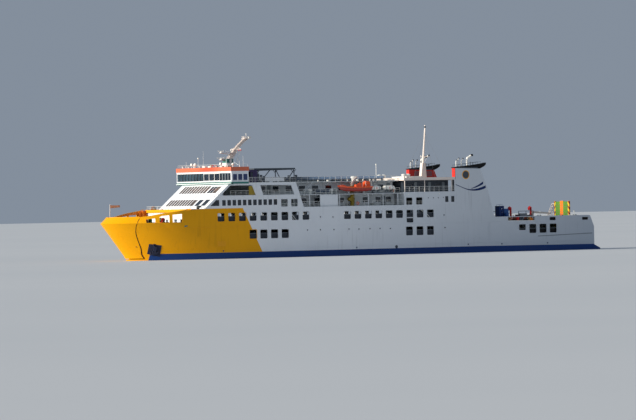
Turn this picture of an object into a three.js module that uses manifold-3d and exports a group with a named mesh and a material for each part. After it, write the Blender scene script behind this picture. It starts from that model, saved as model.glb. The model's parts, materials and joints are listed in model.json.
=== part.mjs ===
// A roll-on roll-off passenger ferry as a scale model at 1:10, afloat.
// Millimetres of the model: 100 mm stand for one metre of the ship.
// +X is the bow, +Y port, +Z up. The origin is amidships on the centre line at the waterline.
import * as THREE from "three";
import { mergeVertices } from "three/addons/utils/BufferGeometryUtils.js";
import Module from "manifold-3d";

const wasm = await Module();
wasm.setup();

// Driving dimensions
const HALF_BEAM = 835;
const WING_HALF = 980;
const WALL = 12;
const PANEL = 10;
const DECK_PLATE = 8;
const ROOF_PLATE = 12;
const GAP = 0.3;
const RUN = 7;
const CAR_DECK = 180;
const CAR_DECK_TOP = CAR_DECK + DECK_PLATE;
const AFT_DECK = 580;
const UPPER_CAR_DECK = 600;
const KNUCKLE = 700;
const AFT_RAIL = 675;
const HOUSE_FLOOR = 946;
const PROMENADE = 1180;
const TOP_DECK = 1412;
const ROOF_LEVEL = TOP_DECK + ROOF_PLATE;
const WHEELHOUSE_TOP = 1635;
const HOUSE_FRONT_X = 3690;
const FRONT_RAKE = 1.196;
const FUNNEL_FRONT_X = -2020;
const INNER_HALF = 560;
const TRANSOM_X = -5342;

// Lengths that reach past the ship's side and past its ends
const OUTSIDE = 1200;
const FAR = 6000;

// Hull lines, each row at one height
// z, bow x, length of entrance, half breadth, stern x, half breadth at the stern, length of run
const HULL_LINES = [
  [-410, 4520, 2500, 600, -2400, 130, 2500],
  [-395, 4530, 2480, 690, -2520, 160, 2450],
  [-350, 4580, 2400, 780, -3000, 240, 2300],
  [-280, 4660, 2300, 825, -3650, 340, 2200],
  [-200, 4740, 2150, 835, -4200, 460, 2100],
  [-120, 4810, 2050, 835, -4700, 600, 2000],
  [-50, 4860, 1960, 835, -5150, 720, 1900],
  [0, 4895, 1900, 835, -5508, 800, 1800],
  [26, 4911, 1872, 835, -5512, 803, 1650],
  [98, 4957, 1788, 835, TRANSOM_X, 835, 1200],
  [125, 4975, 1750, 835, TRANSOM_X, 835, 1200],
  [265, 5085, 1620, 835, TRANSOM_X, 835, 1200],
  [458, 5235, 1450, 835, TRANSOM_X, 835, 1200],
  [500, 5268, 1420, 835, -5324, 835, 1200],
  [KNUCKLE, 5425, 1240, 835, -5240, 835, 1200],
  [830, 5275, 1120, 835, -5185, 835, 1200],
  [950, 5090, 960, 835, -5130, 835, 1200],
];
const NOSE_POWER = 1.65;
const NOSE_SPACING = 1.8;
const RUN_POWER = 1.6;
const STEM_HALF = 14;
const BOW_STEPS = 12;
const RUN_STEPS = 4;
// How far the stem draws back, and the entrance shortens, for each millimetre of inset
const STEM_DRAW = 1.6;
const ENTRANCE_DRAW = 0.6;

// Seam between the bow visor and the hull, seen from the side: x, z
const VISOR_SEAM = [
  [4700, 40],
  [4752, 107],
  [4796, 219],
  [4856, 323],
  [4916, 426],
  [4970, 539],
  [4998, 669],
  [4972, 743],
  [4916, 813],
  [4870, 900],
];

const WHITE = 0xdfe3e6;
const YELLOW = 0xf4b400;
const NAVY = 0x1c3566;
const ORANGE = 0xe8603c;
const RED = 0xb8282a;
const DARK = 0x2a2c30;
const CREAM = 0xe6d2c0;
const BRONZE = 0xb08a4a;
const BOAT_RED = 0xd8451e;
const OLIVE = 0x8a7a3c;
const RAMP_GREEN = 0x4f8a3a;
const DECK_GREEN = 0x3f6b58;
const FLAG_ORANGE = 0xf07a4a;
const GREY = 0x8f979c;

// Solids and their conversions
function toSolid(geometry) {
  const bare = geometry.clone();
  bare.deleteAttribute("normal");
  bare.deleteAttribute("uv");
  const merged = mergeVertices(bare, 1e-3);
  return new wasm.Manifold(new wasm.Mesh({
    numProp: 3,
    vertProperties: merged.attributes.position.array,
    triVerts: new Uint32Array(merged.index.array),
  }));
}

function toGeometry(manifold) {
  const mesh = manifold.getMesh();
  const geometry = new THREE.BufferGeometry();
  geometry.setAttribute("position", new THREE.BufferAttribute(mesh.vertProperties, 3));
  geometry.setIndex(new THREE.BufferAttribute(mesh.triVerts, 1));
  geometry.computeVertexNormals();
  return geometry;
}

function boxSolid(x0, x1, y0, y1, z0, z1) {
  const box = new THREE.BoxGeometry(x1 - x0, y1 - y0, z1 - z0);
  box.translate((x0 + x1) / 2, (y0 + y1) / 2, (z0 + z1) / 2);
  return toSolid(box);
}

// A box right across the ship, for cutting both sides at once
function crossBox(x0, x1, z0, z1) {
  return boxSolid(x0, x1, -OUTSIDE, OUTSIDE, z0, z1);
}

function extrude(outline, depth) {
  const shape = new THREE.Shape(outline.map(([a, b]) => new THREE.Vector2(a, b)));
  return new THREE.ExtrudeGeometry(shape, { depth, bevelEnabled: false });
}

// An outline in x and z, pulled across the ship from y0 to y1
function acrossSolid(outline, y0 = -OUTSIDE, y1 = OUTSIDE) {
  const geometry = extrude(outline, y1 - y0);
  geometry.rotateX(Math.PI / 2);
  geometry.translate(0, y1, 0);
  return toSolid(geometry);
}

// An outline in x and y, pulled upwards from z0 to z1
function upSolid(outline, z0, z1) {
  const geometry = extrude(outline, z1 - z0);
  geometry.translate(0, 0, z0);
  return toSolid(geometry);
}

function rodSolid(from, to, radius, radiusEnd = radius, sides = 12) {
  const a = new THREE.Vector3(...from);
  const b = new THREE.Vector3(...to);
  const rod = new THREE.CylinderGeometry(radiusEnd, radius, a.distanceTo(b), sides);
  const up = new THREE.Vector3(0, 1, 0);
  rod.applyQuaternion(new THREE.Quaternion().setFromUnitVectors(up, b.clone().sub(a).normalize()));
  const middle = a.clone().add(b).multiplyScalar(0.5);
  rod.translate(middle.x, middle.y, middle.z);
  return toSolid(rod);
}

// Rods along x, across y and up z
const alongRod = (x0, x1, y, z, radius) => rodSolid([x0, y, z], [x1, y, z], radius, radius, 16);
const acrossRod = (x, y0, y1, z, radius) => rodSolid([x, y0, z], [x, y1, z], radius);
const upRod = (x, y, z0, z1, radius, sides = 12) => rodSolid([x, y, z0], [x, y, z1], radius, radius, sides);

function joinAll(parts) {
  return parts.reduce((sum, part) => sum.add(part));
}

function cutAll(body, cutters) {
  return cutters.reduce((left, cutter) => left.subtract(cutter), body);
}

function mirrorY(geometry) {
  const copy = geometry.clone();
  copy.scale(1, -1, 1);
  const index = copy.index.array;
  for (let i = 0; i < index.length; i += 3) {
    [index[i], index[i + 1]] = [index[i + 1], index[i]];
  }
  copy.computeVertexNormals();
  return copy;
}

// One side of the hull at one height, from the stem aft
function hullSide([z, bowX, entrance, half, sternX, sternHalf, run], inset) {
  const breadth = half - inset;
  const tip = bowX - STEM_DRAW * inset;
  const side = [];
  for (let i = 0; i <= BOW_STEPS; i += 1) {
    const t = (i / BOW_STEPS) ** NOSE_SPACING;
    const y = breadth * (1 - (1 - t) ** NOSE_POWER) ** (1 / NOSE_POWER);
    side.push([tip - (entrance - ENTRANCE_DRAW * inset) * t, Math.max(y, STEM_HALF), z]);
  }
  for (let i = 0; i <= RUN_STEPS; i += 1) {
    const s = i / RUN_STEPS;
    side.push([sternX + inset + run * (1 - s), breadth - (half - sternHalf) * s ** RUN_POWER, z]);
  }
  return side;
}

// The hull form, drawn in by an inset, from its lowest to its highest row in a range of heights
function hullForm(inset, zLow, zHigh) {
  const rings = HULL_LINES.filter(([z]) => z >= zLow && z <= zHigh).map((row) => hullSide(row, inset));
  const count = rings[0].length;
  const last = count - 1;
  const top = rings.length - 1;
  const positions = rings.flatMap((side) => [...side, ...side.map(([x, y, z]) => [x, -y, z])]).flat();
  const at = (ring, sideNo, i) => ring * 2 * count + sideNo * count + i;
  const index = [];
  for (let r = 0; r < top; r += 1) {
    for (let i = 0; i < last; i += 1) {
      index.push(at(r, 0, i), at(r, 0, i + 1), at(r + 1, 0, i + 1));
      index.push(at(r, 0, i), at(r + 1, 0, i + 1), at(r + 1, 0, i));
      index.push(at(r, 1, i + 1), at(r, 1, i), at(r + 1, 1, i));
      index.push(at(r, 1, i + 1), at(r + 1, 1, i), at(r + 1, 1, i + 1));
    }
    index.push(at(r, 1, 0), at(r, 0, 0), at(r + 1, 0, 0), at(r, 1, 0), at(r + 1, 0, 0), at(r + 1, 1, 0));
    index.push(at(r, 0, last), at(r, 1, last), at(r + 1, 1, last));
    index.push(at(r, 0, last), at(r + 1, 1, last), at(r + 1, 0, last));
  }
  for (let i = 0; i < last; i += 1) {
    index.push(at(0, 0, i), at(0, 1, i), at(0, 1, i + 1), at(0, 0, i), at(0, 1, i + 1), at(0, 0, i + 1));
    index.push(at(top, 1, i), at(top, 0, i), at(top, 0, i + 1));
    index.push(at(top, 1, i), at(top, 0, i + 1), at(top, 1, i + 1));
  }
  const geometry = new THREE.BufferGeometry();
  geometry.setAttribute("position", new THREE.Float32BufferAttribute(positions, 3));
  geometry.setIndex(index);
  return toSolid(geometry);
}

// Square posts on both sides, at each x, from z0 to z1
const POST_HALF = 6;
function postPairs(xs, y, z0, z1) {
  return xs.flatMap((x) => [-y, y].map((across) =>
    boxSolid(x - POST_HALF, x + POST_HALF, across - POST_HALF, across + POST_HALF, z0, z1)));
}

// A box without its floor, with walls and a roof
function hollowBlock(x0, x1, half, z0, z1, thick) {
  return boxSolid(x0, x1, -half, half, z0, z1).subtract(
    boxSolid(x0 + thick, x1 - thick, -half + thick, half - thick, z0 - thick, z1 - thick));
}

// A row of window cutters, each right across the ship
function windowRow(xs, width, z0, z1) {
  return xs.map((x) => crossBox(x - width / 2, x + width / 2, z0, z1));
}

const group = new THREE.Group();
group.name = "passenger_ferry";

function add(name, shape, color, roughness = 0.5, metalness = 0.1) {
  const geometry = shape instanceof THREE.BufferGeometry ? shape : toGeometry(shape);
  const mesh = new THREE.Mesh(geometry, new THREE.MeshStandardMaterial({ color, roughness, metalness }));
  mesh.name = name;
  group.add(mesh);
}

function addPair(name, shape, color, roughness, metalness) {
  const geometry = toGeometry(shape);
  add(`port_${name}`, geometry, color, roughness, metalness);
  add(`starboard_${name}`, mirrorY(geometry), color, roughness, metalness);
}

// Everything above this line of the rail is cut off the hull's sides: x, z
const RAIL_CUT = [
  [FAR, 812],
  [4840, 816],
  [4770, 826],
  [4510, 873],
  [4270, 905],
  [4120, 925],
  [HOUSE_FRONT_X, HOUSE_FLOOR - GAP],
  [FUNNEL_FRONT_X, HOUSE_FLOOR - GAP],
  [FUNNEL_FRONT_X, AFT_RAIL],
  [-FAR, AFT_RAIL],
  [-FAR, OUTSIDE],
  [FAR, OUTSIDE],
];

const KEEL = HULL_LINES[0][0];
const outerHull = hullForm(0, KEEL, OUTSIDE);
const innerHull = hullForm(WALL, KEEL, OUTSIDE);
const deckForm = hullForm(WALL + GAP, KEEL, OUTSIDE);
const railCut = acrossSolid(RAIL_CUT);

// The visor's side of the seam, and the hull's cut with its running clearance
const [SEAM_LOW_X, SEAM_LOW_Z] = VISOR_SEAM[0];
const SEAM_HIGH_X = VISOR_SEAM.at(-1)[0];
const visorZone = acrossSolid([...VISOR_SEAM, [SEAM_HIGH_X, OUTSIDE], [FAR, OUTSIDE], [FAR, SEAM_LOW_Z]]);
const hullZoneCut = acrossSolid([
  [SEAM_LOW_X - 3 * RUN, SEAM_LOW_Z - 2 * RUN], ...VISOR_SEAM.slice(1).map(([x, z]) => [x - RUN, z]),
  [SEAM_HIGH_X - RUN, OUTSIDE], [FAR, OUTSIDE], [FAR, SEAM_LOW_Z - 2 * RUN]]);

// Lower hull with the engine well, stern tubes, shaft struts, skegs and rudder headboxes
const WELL = { x0: -2350, x1: -1050, half: 420, z0: -300 };
const SHAFT = { y: 330, z: -283, radius: 12, tube: 24, tubeStart: -3500 };
const PROPELLER = { x: -4560, hub: 26, blades: 4, pitch: 0.55 };
const RUDDER = { x: -4800, stock: 14, top: -60, headHalf: 22 };
const STRUT_HALF = 7;
const SKEG_HALF = 16;
const STRUT = [[-4380, SHAFT.z], [-4480, SHAFT.z], [-4500, -120], [-4380, -120]];
const SKEG = [[-2600, -380], [-3500, -300], [-3700, -262], [-3000, -262]];

let lowerHull = outerHull.subtract(crossBox(-FAR, FAR, CAR_DECK, OUTSIDE)).subtract(hullZoneCut);
lowerHull = lowerHull.subtract(boxSolid(WELL.x0, WELL.x1, -WELL.half, WELL.half, WELL.z0, CAR_DECK + WALL));
for (const side of [1, -1]) {
  const y = side * SHAFT.y;
  const bossX = PROPELLER.x + 40;
  lowerHull = joinAll([
    lowerHull,
    alongRod(SHAFT.tubeStart, bossX, y, SHAFT.z, SHAFT.tube),
    acrossSolid(STRUT, y - STRUT_HALF, y + STRUT_HALF),
    acrossSolid(SKEG, y - SKEG_HALF, y + SKEG_HALF),
    boxSolid(RUDDER.x - 60, RUDDER.x + 60, y - RUDDER.headHalf, y + RUDDER.headHalf, -128, -30),
  ]);
  lowerHull = cutAll(lowerHull, [
    alongRod(PROPELLER.x, PROPELLER.x + 120, y, SHAFT.z, SHAFT.radius + 0.6),
    upRod(RUDDER.x, y, SHAFT.z, RUDDER.top, RUDDER.stock + 3),
  ]);
}
add("lower_hull", lowerHull, NAVY, 0.55);

// Main engines, each a plain block on the floor of the well
const ENGINE = { x0: -2050, x1: -1480, y: 220, half: 90, top: 10 };
for (const [name, side] of [["port_engine", 1], ["starboard_engine", -1]]) {
  const y = side * ENGINE.y;
  const block = boxSolid(ENGINE.x0, ENGINE.x1, y - ENGINE.half, y + ENGINE.half, WELL.z0 + GAP, ENGINE.top);
  add(name, block, GREY, 0.6, 0.4);
}

// Openings in both sides of the hull, in rows
// x of the first opening's forward edge, how many, pitch, width, z low, z high
const SIDE_PORTS = [
  [3413, 9, 237, 152, 702, 857],
  [573, 9, 240, 155, 700, 848],
  [2712, 4, 239, 160, 366, 533],
  [-849, 3, 245, 158, 360, 529],
  [-867, 1, 0, 155, 607, 702],
  [-3769, 3, 246, 166, 350, 524],
  [-3521, 1, 0, 160, 412, 524],
  [-4262, 1, 0, 150, 592, 654],
  [-5052, 1, 0, 150, 586, 642],
];
// Openings of the forecastle, each with a top edge along the rail: x, z
const BOW_PORTS = [
  [[4850, 704], [4690, 704], [4684, 785], [4850, 768]],
  [[4626, 704], [4436, 704], [4431, 839], [4568, 827], [4614, 806]],
  [[4382, 704], [4190, 704], [4187, 859], [4377, 846]],
];
const SIDE_RECESS = [[-3262, 591], [-3900, 583], [-3915, 760], [-3262, 760]];
const STERN_GATE_HALF = 285;
const BOW_GATE_HALF = 200;
const GATE_LOW = 100;
const portCutters = SIDE_PORTS.flatMap(([x, count, pitch, width, z0, z1]) =>
  Array.from({ length: count }, (_, i) => crossBox(x - i * pitch - width, x - i * pitch, z0, z1)));

const shell = outerHull.subtract(innerHull);
let sides = shell.subtract(crossBox(-FAR, FAR, KEEL - WALL, CAR_DECK + GAP));
sides = cutAll(sides, [railCut, hullZoneCut, acrossSolid(SIDE_RECESS), ...portCutters,
  ...BOW_PORTS.map((outline) => acrossSolid(outline))]);
sides = cutAll(sides, [
  boxSolid(-FAR, -5150, -STERN_GATE_HALF, STERN_GATE_HALF, GATE_LOW, OUTSIDE),
  boxSolid(SEAM_LOW_X, FAR, -BOW_GATE_HALF, BOW_GATE_HALF, GATE_LOW, OUTSIDE),
  boxSolid(-FAR, FAR, -OUTSIDE, 0, GATE_LOW, OUTSIDE),
]);
addPair("hull_side", sides, WHITE);

// Decks inside the hull, fitted to its form
function deck(z0, z1, x0, x1) {
  return deckForm.intersect(crossBox(x0, x1, z0, z1));
}

// The ramps' hinge lines and sizes
const BOW_RAMP = { x: 4604, z: 214, length: 455, half: 250, thick: 12 };
const STERN_RAMP = { x: -5180, z: 206, length: 750, half: 255, thick: 12 };
const BULKHEAD_X = 4540;
const carDeck = deck(CAR_DECK + GAP, CAR_DECK_TOP, -5290, BULKHEAD_X + 100).subtract(hullZoneCut);
add("car_deck", carDeck, DECK_GREEN, 0.8);
const UPPER_CAR_DECK_AFT = -2950;
const upperCarDeck = deck(UPPER_CAR_DECK - DECK_PLATE, UPPER_CAR_DECK, UPPER_CAR_DECK_AFT, 3950);
add("upper_car_deck", upperCarDeck, DECK_GREEN, 0.8);
const aftDeckPlate = deck(AFT_DECK - DECK_PLATE, AFT_DECK, TRANSOM_X, UPPER_CAR_DECK_AFT - GAP);
add("aft_mooring_deck", aftDeckPlate.subtract(boxSolid(-FAR, STERN_RAMP.x + 40, -STERN_GATE_HALF,
  STERN_GATE_HALF, GATE_LOW, OUTSIDE)), DECK_GREEN, 0.8);
const forecastle = deck(KNUCKLE - DECK_PLATE, KNUCKLE, BULKHEAD_X - 900, FAR).subtract(hullZoneCut);
add("forecastle_deck", forecastle, DECK_GREEN, 0.8);

const bulkhead = deck(CAR_DECK_TOP + GAP, KNUCKLE - DECK_PLATE - GAP, BULKHEAD_X, BULKHEAD_X + 20);
const bulkheadGate = boxSolid(BULKHEAD_X - WALL, BULKHEAD_X + 50, -230, 230, GATE_LOW, 650);
add("bow_bulkhead", bulkhead.subtract(bulkheadGate), YELLOW, 0.6);

// Bow visor: an open shell with a bottom, its own deck and two hinge arms
const VISOR_HINGE = { x: 4800, z: 762, y: 240, pin: 8.7, bore: 9.3 };
const VISOR_ARM = [[-26, -27], [20, -27], [260, -67], [380, -67], [14, 28], [-26, 28]];
const VISOR_FLOOR = 70;
let visor = joinAll([
  shell,
  outerHull.intersect(crossBox(SEAM_LOW_X - WALL, FAR, 0, VISOR_FLOOR)),
  outerHull.intersect(crossBox(SEAM_LOW_X - WALL, FAR, KNUCKLE - ROOF_PLATE, KNUCKLE)),
]).intersect(visorZone).subtract(railCut);
for (const side of [1, -1]) {
  const y = side * VISOR_HINGE.y;
  const arm = acrossSolid(VISOR_ARM.map(([x, z]) => [VISOR_HINGE.x + x, VISOR_HINGE.z + z]), y - 12, y + 12);
  visor = visor.add(arm).subtract(acrossRod(VISOR_HINGE.x, y - 40, y + 40, VISOR_HINGE.z, VISOR_HINGE.bore));
}
add("bow_visor", visor, YELLOW, 0.45);

// Hinge brackets of the visor, two cheeks and a pin on each side, joined by a plate on the deck
const BRACKET = { aft: 60, front: 10, half: 290, plate: 12, cheek: 8, spread: 30, top: 780 };
const CHEEK = [
  [-BRACKET.aft, KNUCKLE + 6], [BRACKET.front, KNUCKLE + 6], [14, BRACKET.top], [-14, BRACKET.top],
];
const bracketParts = [boxSolid(VISOR_HINGE.x - BRACKET.aft, VISOR_HINGE.x + BRACKET.front, -BRACKET.half,
  BRACKET.half, KNUCKLE + GAP, KNUCKLE + BRACKET.plate)];
for (const side of [1, -1]) {
  const y = side * VISOR_HINGE.y;
  for (const offset of [-BRACKET.spread, BRACKET.spread]) {
    bracketParts.push(acrossSolid(CHEEK.map(([x, z]) => [VISOR_HINGE.x + x, z]), y + offset - BRACKET.cheek,
      y + offset + BRACKET.cheek));
  }
  const reach = BRACKET.spread + 6;
  bracketParts.push(acrossRod(VISOR_HINGE.x, y - reach, y + reach, VISOR_HINGE.z, VISOR_HINGE.pin));
}
add("visor_hinge_brackets", joinAll(bracketParts), YELLOW, 0.6);

// Ramps, stowed upright: a plate, its hinge tube and two girders or a landing flap
function rampPlate({ x, z, length, half, thick }) {
  return [
    boxSolid(x - thick, x + thick, -half, half, z, z + length),
    acrossRod(x, -half, half, z, thick),
  ];
}
const GIRDER = { low: 40, top: 640, y0: 210, y1: 230, depth: 14 };
const girders = [1, -1].map((side) => boxSolid(BOW_RAMP.x + 10, BOW_RAMP.x + BOW_RAMP.thick + GIRDER.depth,
  Math.min(side * GIRDER.y0, side * GIRDER.y1), Math.max(side * GIRDER.y0, side * GIRDER.y1),
  BOW_RAMP.z + GIRDER.low, GIRDER.top));
add("bow_ramp", joinAll([...rampPlate(BOW_RAMP), ...girders]), GREY, 0.6, 0.3);
const rampEnd = STERN_RAMP.z + STERN_RAMP.length;
const landingFlap = boxSolid(STERN_RAMP.x - 8, STERN_RAMP.x + 8, -60, 60, rampEnd - 30, rampEnd + 12);
add("stern_ramp", joinAll([...rampPlate(STERN_RAMP), landingFlap]), RAMP_GREEN, 0.6);

// Each ramp turns between two lugs that stand on a sill plate on the car deck
const LUG = { half: 12, width: 12, sill: 3 };
function hingeSill({ x, z, half }) {
  const inner = half + GAP;
  const outer = inner + LUG.width;
  const block = (y0, y1, top) => boxSolid(x - LUG.half, x + LUG.half, y0, y1, CAR_DECK_TOP + GAP, top);
  return joinAll([
    block(-outer, outer, CAR_DECK_TOP + LUG.sill),
    block(inner, outer, z + LUG.half),
    block(-outer, -inner, z + LUG.half),
  ]);
}
add("bow_ramp_sill", hingeSill(BOW_RAMP), GREY, 0.6, 0.3);
add("stern_ramp_sill", hingeSill(STERN_RAMP), GREY, 0.6, 0.3);

// Passenger house: the floor with its lip over the forecastle, the wall below the lip
const PLATFORM_X = 3985;
const LIP = 56;
add("house_floor", joinAll([
  deck(HOUSE_FLOOR - DECK_PLATE, HOUSE_FLOOR - GAP, FUNNEL_FRONT_X + GAP, PLATFORM_X),
  deck(HOUSE_FLOOR - LIP, HOUSE_FLOOR - GAP, PLATFORM_X - WALL, PLATFORM_X),
]), YELLOW, 0.6);
const MOORING_FRONT = { x: 3940, gateInner: 340, gateOuter: 760, gateLow: 715, gateHigh: 925 };
const mooringFront = deck(
  KNUCKLE + GAP, HOUSE_FLOOR - DECK_PLATE - GAP, MOORING_FRONT.x, MOORING_FRONT.x + WALL);
add("mooring_deck_front", cutAll(mooringFront, [1, -1].map((side) => {
  const edges = [side * MOORING_FRONT.gateInner, side * MOORING_FRONT.gateOuter];
  return boxSolid(MOORING_FRONT.x - WALL, PLATFORM_X, Math.min(...edges), Math.max(...edges),
    MOORING_FRONT.gateLow, MOORING_FRONT.gateHigh);
})), WHITE);

// The raked front with its windows
const frontX = (z) => HOUSE_FRONT_X - (z - HOUSE_FLOOR) * FRONT_RAKE;
const FRONT_THICK = 16;
const INSIDE_HALF = HALF_BEAM - PANEL - GAP;
const HOUSE_TOP = TOP_DECK - GAP;
const frontWall = acrossSolid([
  [frontX(HOUSE_FLOOR), HOUSE_FLOOR], [frontX(HOUSE_TOP), HOUSE_TOP],
  [frontX(HOUSE_TOP) - FRONT_THICK, HOUSE_TOP], [frontX(HOUSE_FLOOR) - FRONT_THICK, HOUSE_FLOOR],
], -INSIDE_HALF, INSIDE_HALF);
// z low, z high, how many, y of the first one's centre, pitch, width
const FRONT_WINDOWS = [
  [1002, 1104, 9, -665, 95, 62],
  [1002, 1104, 1, 215, 0, 130],
  [1002, 1104, 1, 420, 0, 130],
  [1002, 1104, 1, 650, 0, 160],
  [1236, 1352, 9, -630, 95, 62],
  [1236, 1352, 1, 235, 0, 95],
  [1236, 1352, 1, 500, 0, 330],
];
const frontCutters = FRONT_WINDOWS.flatMap(([low, high, count, first, pitch, width]) =>
  Array.from({ length: count }, (_, i) => boxSolid(
    2800, 4000, first + i * pitch - width / 2, first + i * pitch + width / 2, low, high)));
add("house_front", cutAll(frontWall, frontCutters), WHITE);

// The house's sides, with two open deck stretches and a row of windows
const HOUSE_SIDE = [
  [HOUSE_FRONT_X, HOUSE_FLOOR], [1483, HOUSE_FLOOR], [1649, HOUSE_TOP], [frontX(HOUSE_TOP), HOUSE_TOP],
];
const OPEN_DECKS = [
  [[frontX(1187) - 62, 1187], [2556, 1187], [2634, 1372], [frontX(1372) - 62, 1372]],
  [[2392, 1187], [1693, 1187], [1762, 1366], [2456, 1372]],
];
const CORNER_WINDOW = [[frontX(994) - 60, 994], [3372, 994], [3372, 1104], [frontX(1104) - 60, 1104]];
const HOUSE_WINDOWS = { first: 3308, count: 11, pitch: 114.5, width: 84, low: 994, high: 1104 };
const HOUSE_DOORS = [[1994, 152], [1770, 152]];
const houseWindows = Array.from({ length: HOUSE_WINDOWS.count }, (_, i) => {
  const x = HOUSE_WINDOWS.first - i * HOUSE_WINDOWS.pitch;
  return crossBox(x - HOUSE_WINDOWS.width, x, HOUSE_WINDOWS.low, HOUSE_WINDOWS.high);
});
const houseSide = cutAll(acrossSolid(HOUSE_SIDE, HALF_BEAM - PANEL, HALF_BEAM), [
  ...OPEN_DECKS.map((outline) => acrossSolid(outline)),
  acrossSolid(CORNER_WINDOW),
  ...houseWindows,
  ...HOUSE_DOORS.map(([x, width]) => crossBox(x - width, x, HOUSE_FLOOR + PANEL, 1102)),
]);
addPair("house_side", houseSide, WHITE);

// Lounges behind the side passages, hollow blocks with window openings
const LOUNGE = { x0: -780, x1: 2980, upperX1: 2450, upperHalf: INNER_HALF - 60 };
add("lounge", cutAll(
  hollowBlock(LOUNGE.x0, LOUNGE.x1, INNER_HALF, HOUSE_FLOOR, PROMENADE - DECK_PLATE - GAP, PANEL),
  windowRow([1300, 1000, 200, -100, -400, -640], 120, 1010, 1110)), WHITE);
add("upper_lounge", cutAll(
  hollowBlock(LOUNGE.x0, LOUNGE.upperX1, LOUNGE.upperHalf, PROMENADE + GAP, HOUSE_TOP, PANEL),
  windowRow([2200, 1900, 1300, 1000, 700, 400, 100, -200, -500], 140, 1250, 1350)), WHITE);

// Promenade deck on its posts, with the rescue boat's two cradles and a hole for the davit's post
const DAVIT = { x: 250, y: 635, top: 1335, radius: 34 };
const BOAT = { x0: -95, x1: 655, y: 770, half: 92, keel: 1218, gunwale: 1300, stem: 1325 };
const AFT_BLOCK = { x0: FUNNEL_FRONT_X + GAP, x1: -824, roof: 1194 };
const NARROW_DECK = { x1: 1570, half: 800 };
const CRADLE = { half: 10, y0: 715, y1: 798 };
const UNDER_DECK = PROMENADE - DECK_PLATE;
const promenade = joinAll([
  boxSolid(NARROW_DECK.x1, 3392, -INSIDE_HALF, INSIDE_HALF, UNDER_DECK, PROMENADE),
  boxSolid(AFT_BLOCK.x1 + GAP, NARROW_DECK.x1, -NARROW_DECK.half, NARROW_DECK.half, UNDER_DECK, PROMENADE),
  ...postPairs([-700, -360, -20, 640, 980, 1320], NARROW_DECK.half - 10, HOUSE_FLOOR, UNDER_DECK + 4),
  ...[80, 430].map((x) =>
    boxSolid(x - CRADLE.half, x + CRADLE.half, CRADLE.y0, CRADLE.y1, UNDER_DECK + 4, BOAT.keel - GAP)),
]);
const davitHole = upRod(DAVIT.x, DAVIT.y, PROMENADE - 80, PROMENADE + 20, DAVIT.radius + GAP, 16);
add("promenade_deck", promenade.subtract(davitHole), DECK_GREEN, 0.8);

// Top deck: wide forward, narrow over the upper lounge, out to the wings under the wheelhouse
add("top_deck", joinAll([
  boxSolid(1640, 3135, -HALF_BEAM, HALF_BEAM, TOP_DECK, ROOF_LEVEL),
  boxSolid(AFT_BLOCK.x1 + GAP, 1640, -620, 620, TOP_DECK, ROOF_LEVEL),
  boxSolid(2700, 3200, -WING_HALF, WING_HALF, TOP_DECK, ROOF_LEVEL),
]), WHITE, 0.6);

// Aft passenger block: windowed walls below, open shelter above
// x of the forward edge, width, z low, z high
const AFT_WINDOWS = [
  [-863, 148, 947, 1088],
  [-1096, 148, 947, 1088],
  [-1776, 80, 985, 1103],
  [-1917, 80, 985, 1103],
];
const aftRoom = boxSolid(AFT_BLOCK.x0 + PANEL, AFT_BLOCK.x1 - PANEL, -HALF_BEAM + PANEL, HALF_BEAM - PANEL,
  HOUSE_FLOOR - PANEL, AFT_BLOCK.roof - PANEL);
add("aft_house", cutAll(
  boxSolid(AFT_BLOCK.x0, AFT_BLOCK.x1, -HALF_BEAM, HALF_BEAM, HOUSE_FLOOR, AFT_BLOCK.roof),
  [aftRoom, ...AFT_WINDOWS.map(([x, width, z0, z1]) => crossBox(x - width, x, z0, z1))]), WHITE);
const SHELTER = { low: 1416, top: 1470, x0: -1960, x1: -900, half: 600 };
add("aft_shelter_roof", joinAll([
  boxSolid(AFT_BLOCK.x0, AFT_BLOCK.x1 - GAP, -HALF_BEAM, HALF_BEAM, SHELTER.low, SHELTER.top),
  ...postPairs([-850, -1312, -1950], HALF_BEAM - 13, AFT_BLOCK.roof + GAP, SHELTER.low + 4),
]), CREAM, 0.6);
add("aft_shelter_house", cutAll(
  hollowBlock(SHELTER.x0, SHELTER.x1, SHELTER.half, AFT_BLOCK.roof + GAP, SHELTER.low - GAP, PANEL),
  windowRow([-1750, -1430, -1110], 160, 1250, 1350)), DARK, 0.6);

// Wheelhouse with its ring of windows, the deep roof, and the officers' house behind it
const WHEELHOUSE = {
  x0: 2800, x1: 3180, z0: ROOF_LEVEL + GAP, z1: WHEELHOUSE_TOP - GAP, low: 1466, high: 1587,
};
const FRONT_PANES = { count: 16, edge: 30, mullion: 8 };
const SIDE_PANES = { count: 3, edge: 24, pitch: 115, width: 96 };
const ROOF_TOP = 1722;
const panePitch = (2 * WING_HALF - 2 * FRONT_PANES.edge) / FRONT_PANES.count;
const bridgeCutters = [
  ...Array.from({ length: FRONT_PANES.count }, (_, i) => {
    const y0 = -WING_HALF + FRONT_PANES.edge + i * panePitch;
    return boxSolid(WHEELHOUSE.x1 - 80, WHEELHOUSE.x1 + 80, y0 + FRONT_PANES.mullion,
      y0 + panePitch - FRONT_PANES.mullion, WHEELHOUSE.low, WHEELHOUSE.high);
  }),
  ...Array.from({ length: SIDE_PANES.count }, (_, i) => {
    const x0 = WHEELHOUSE.x0 + SIDE_PANES.edge + i * SIDE_PANES.pitch;
    return crossBox(x0, x0 + SIDE_PANES.width, WHEELHOUSE.low, WHEELHOUSE.high);
  }),
];
const bridgeRoom = boxSolid(
  WHEELHOUSE.x0 + PANEL, WHEELHOUSE.x1 - PANEL, -WING_HALF + PANEL, WING_HALF - PANEL,
  WHEELHOUSE.z0 - PANEL, WHEELHOUSE.z1 + PANEL);
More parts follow.
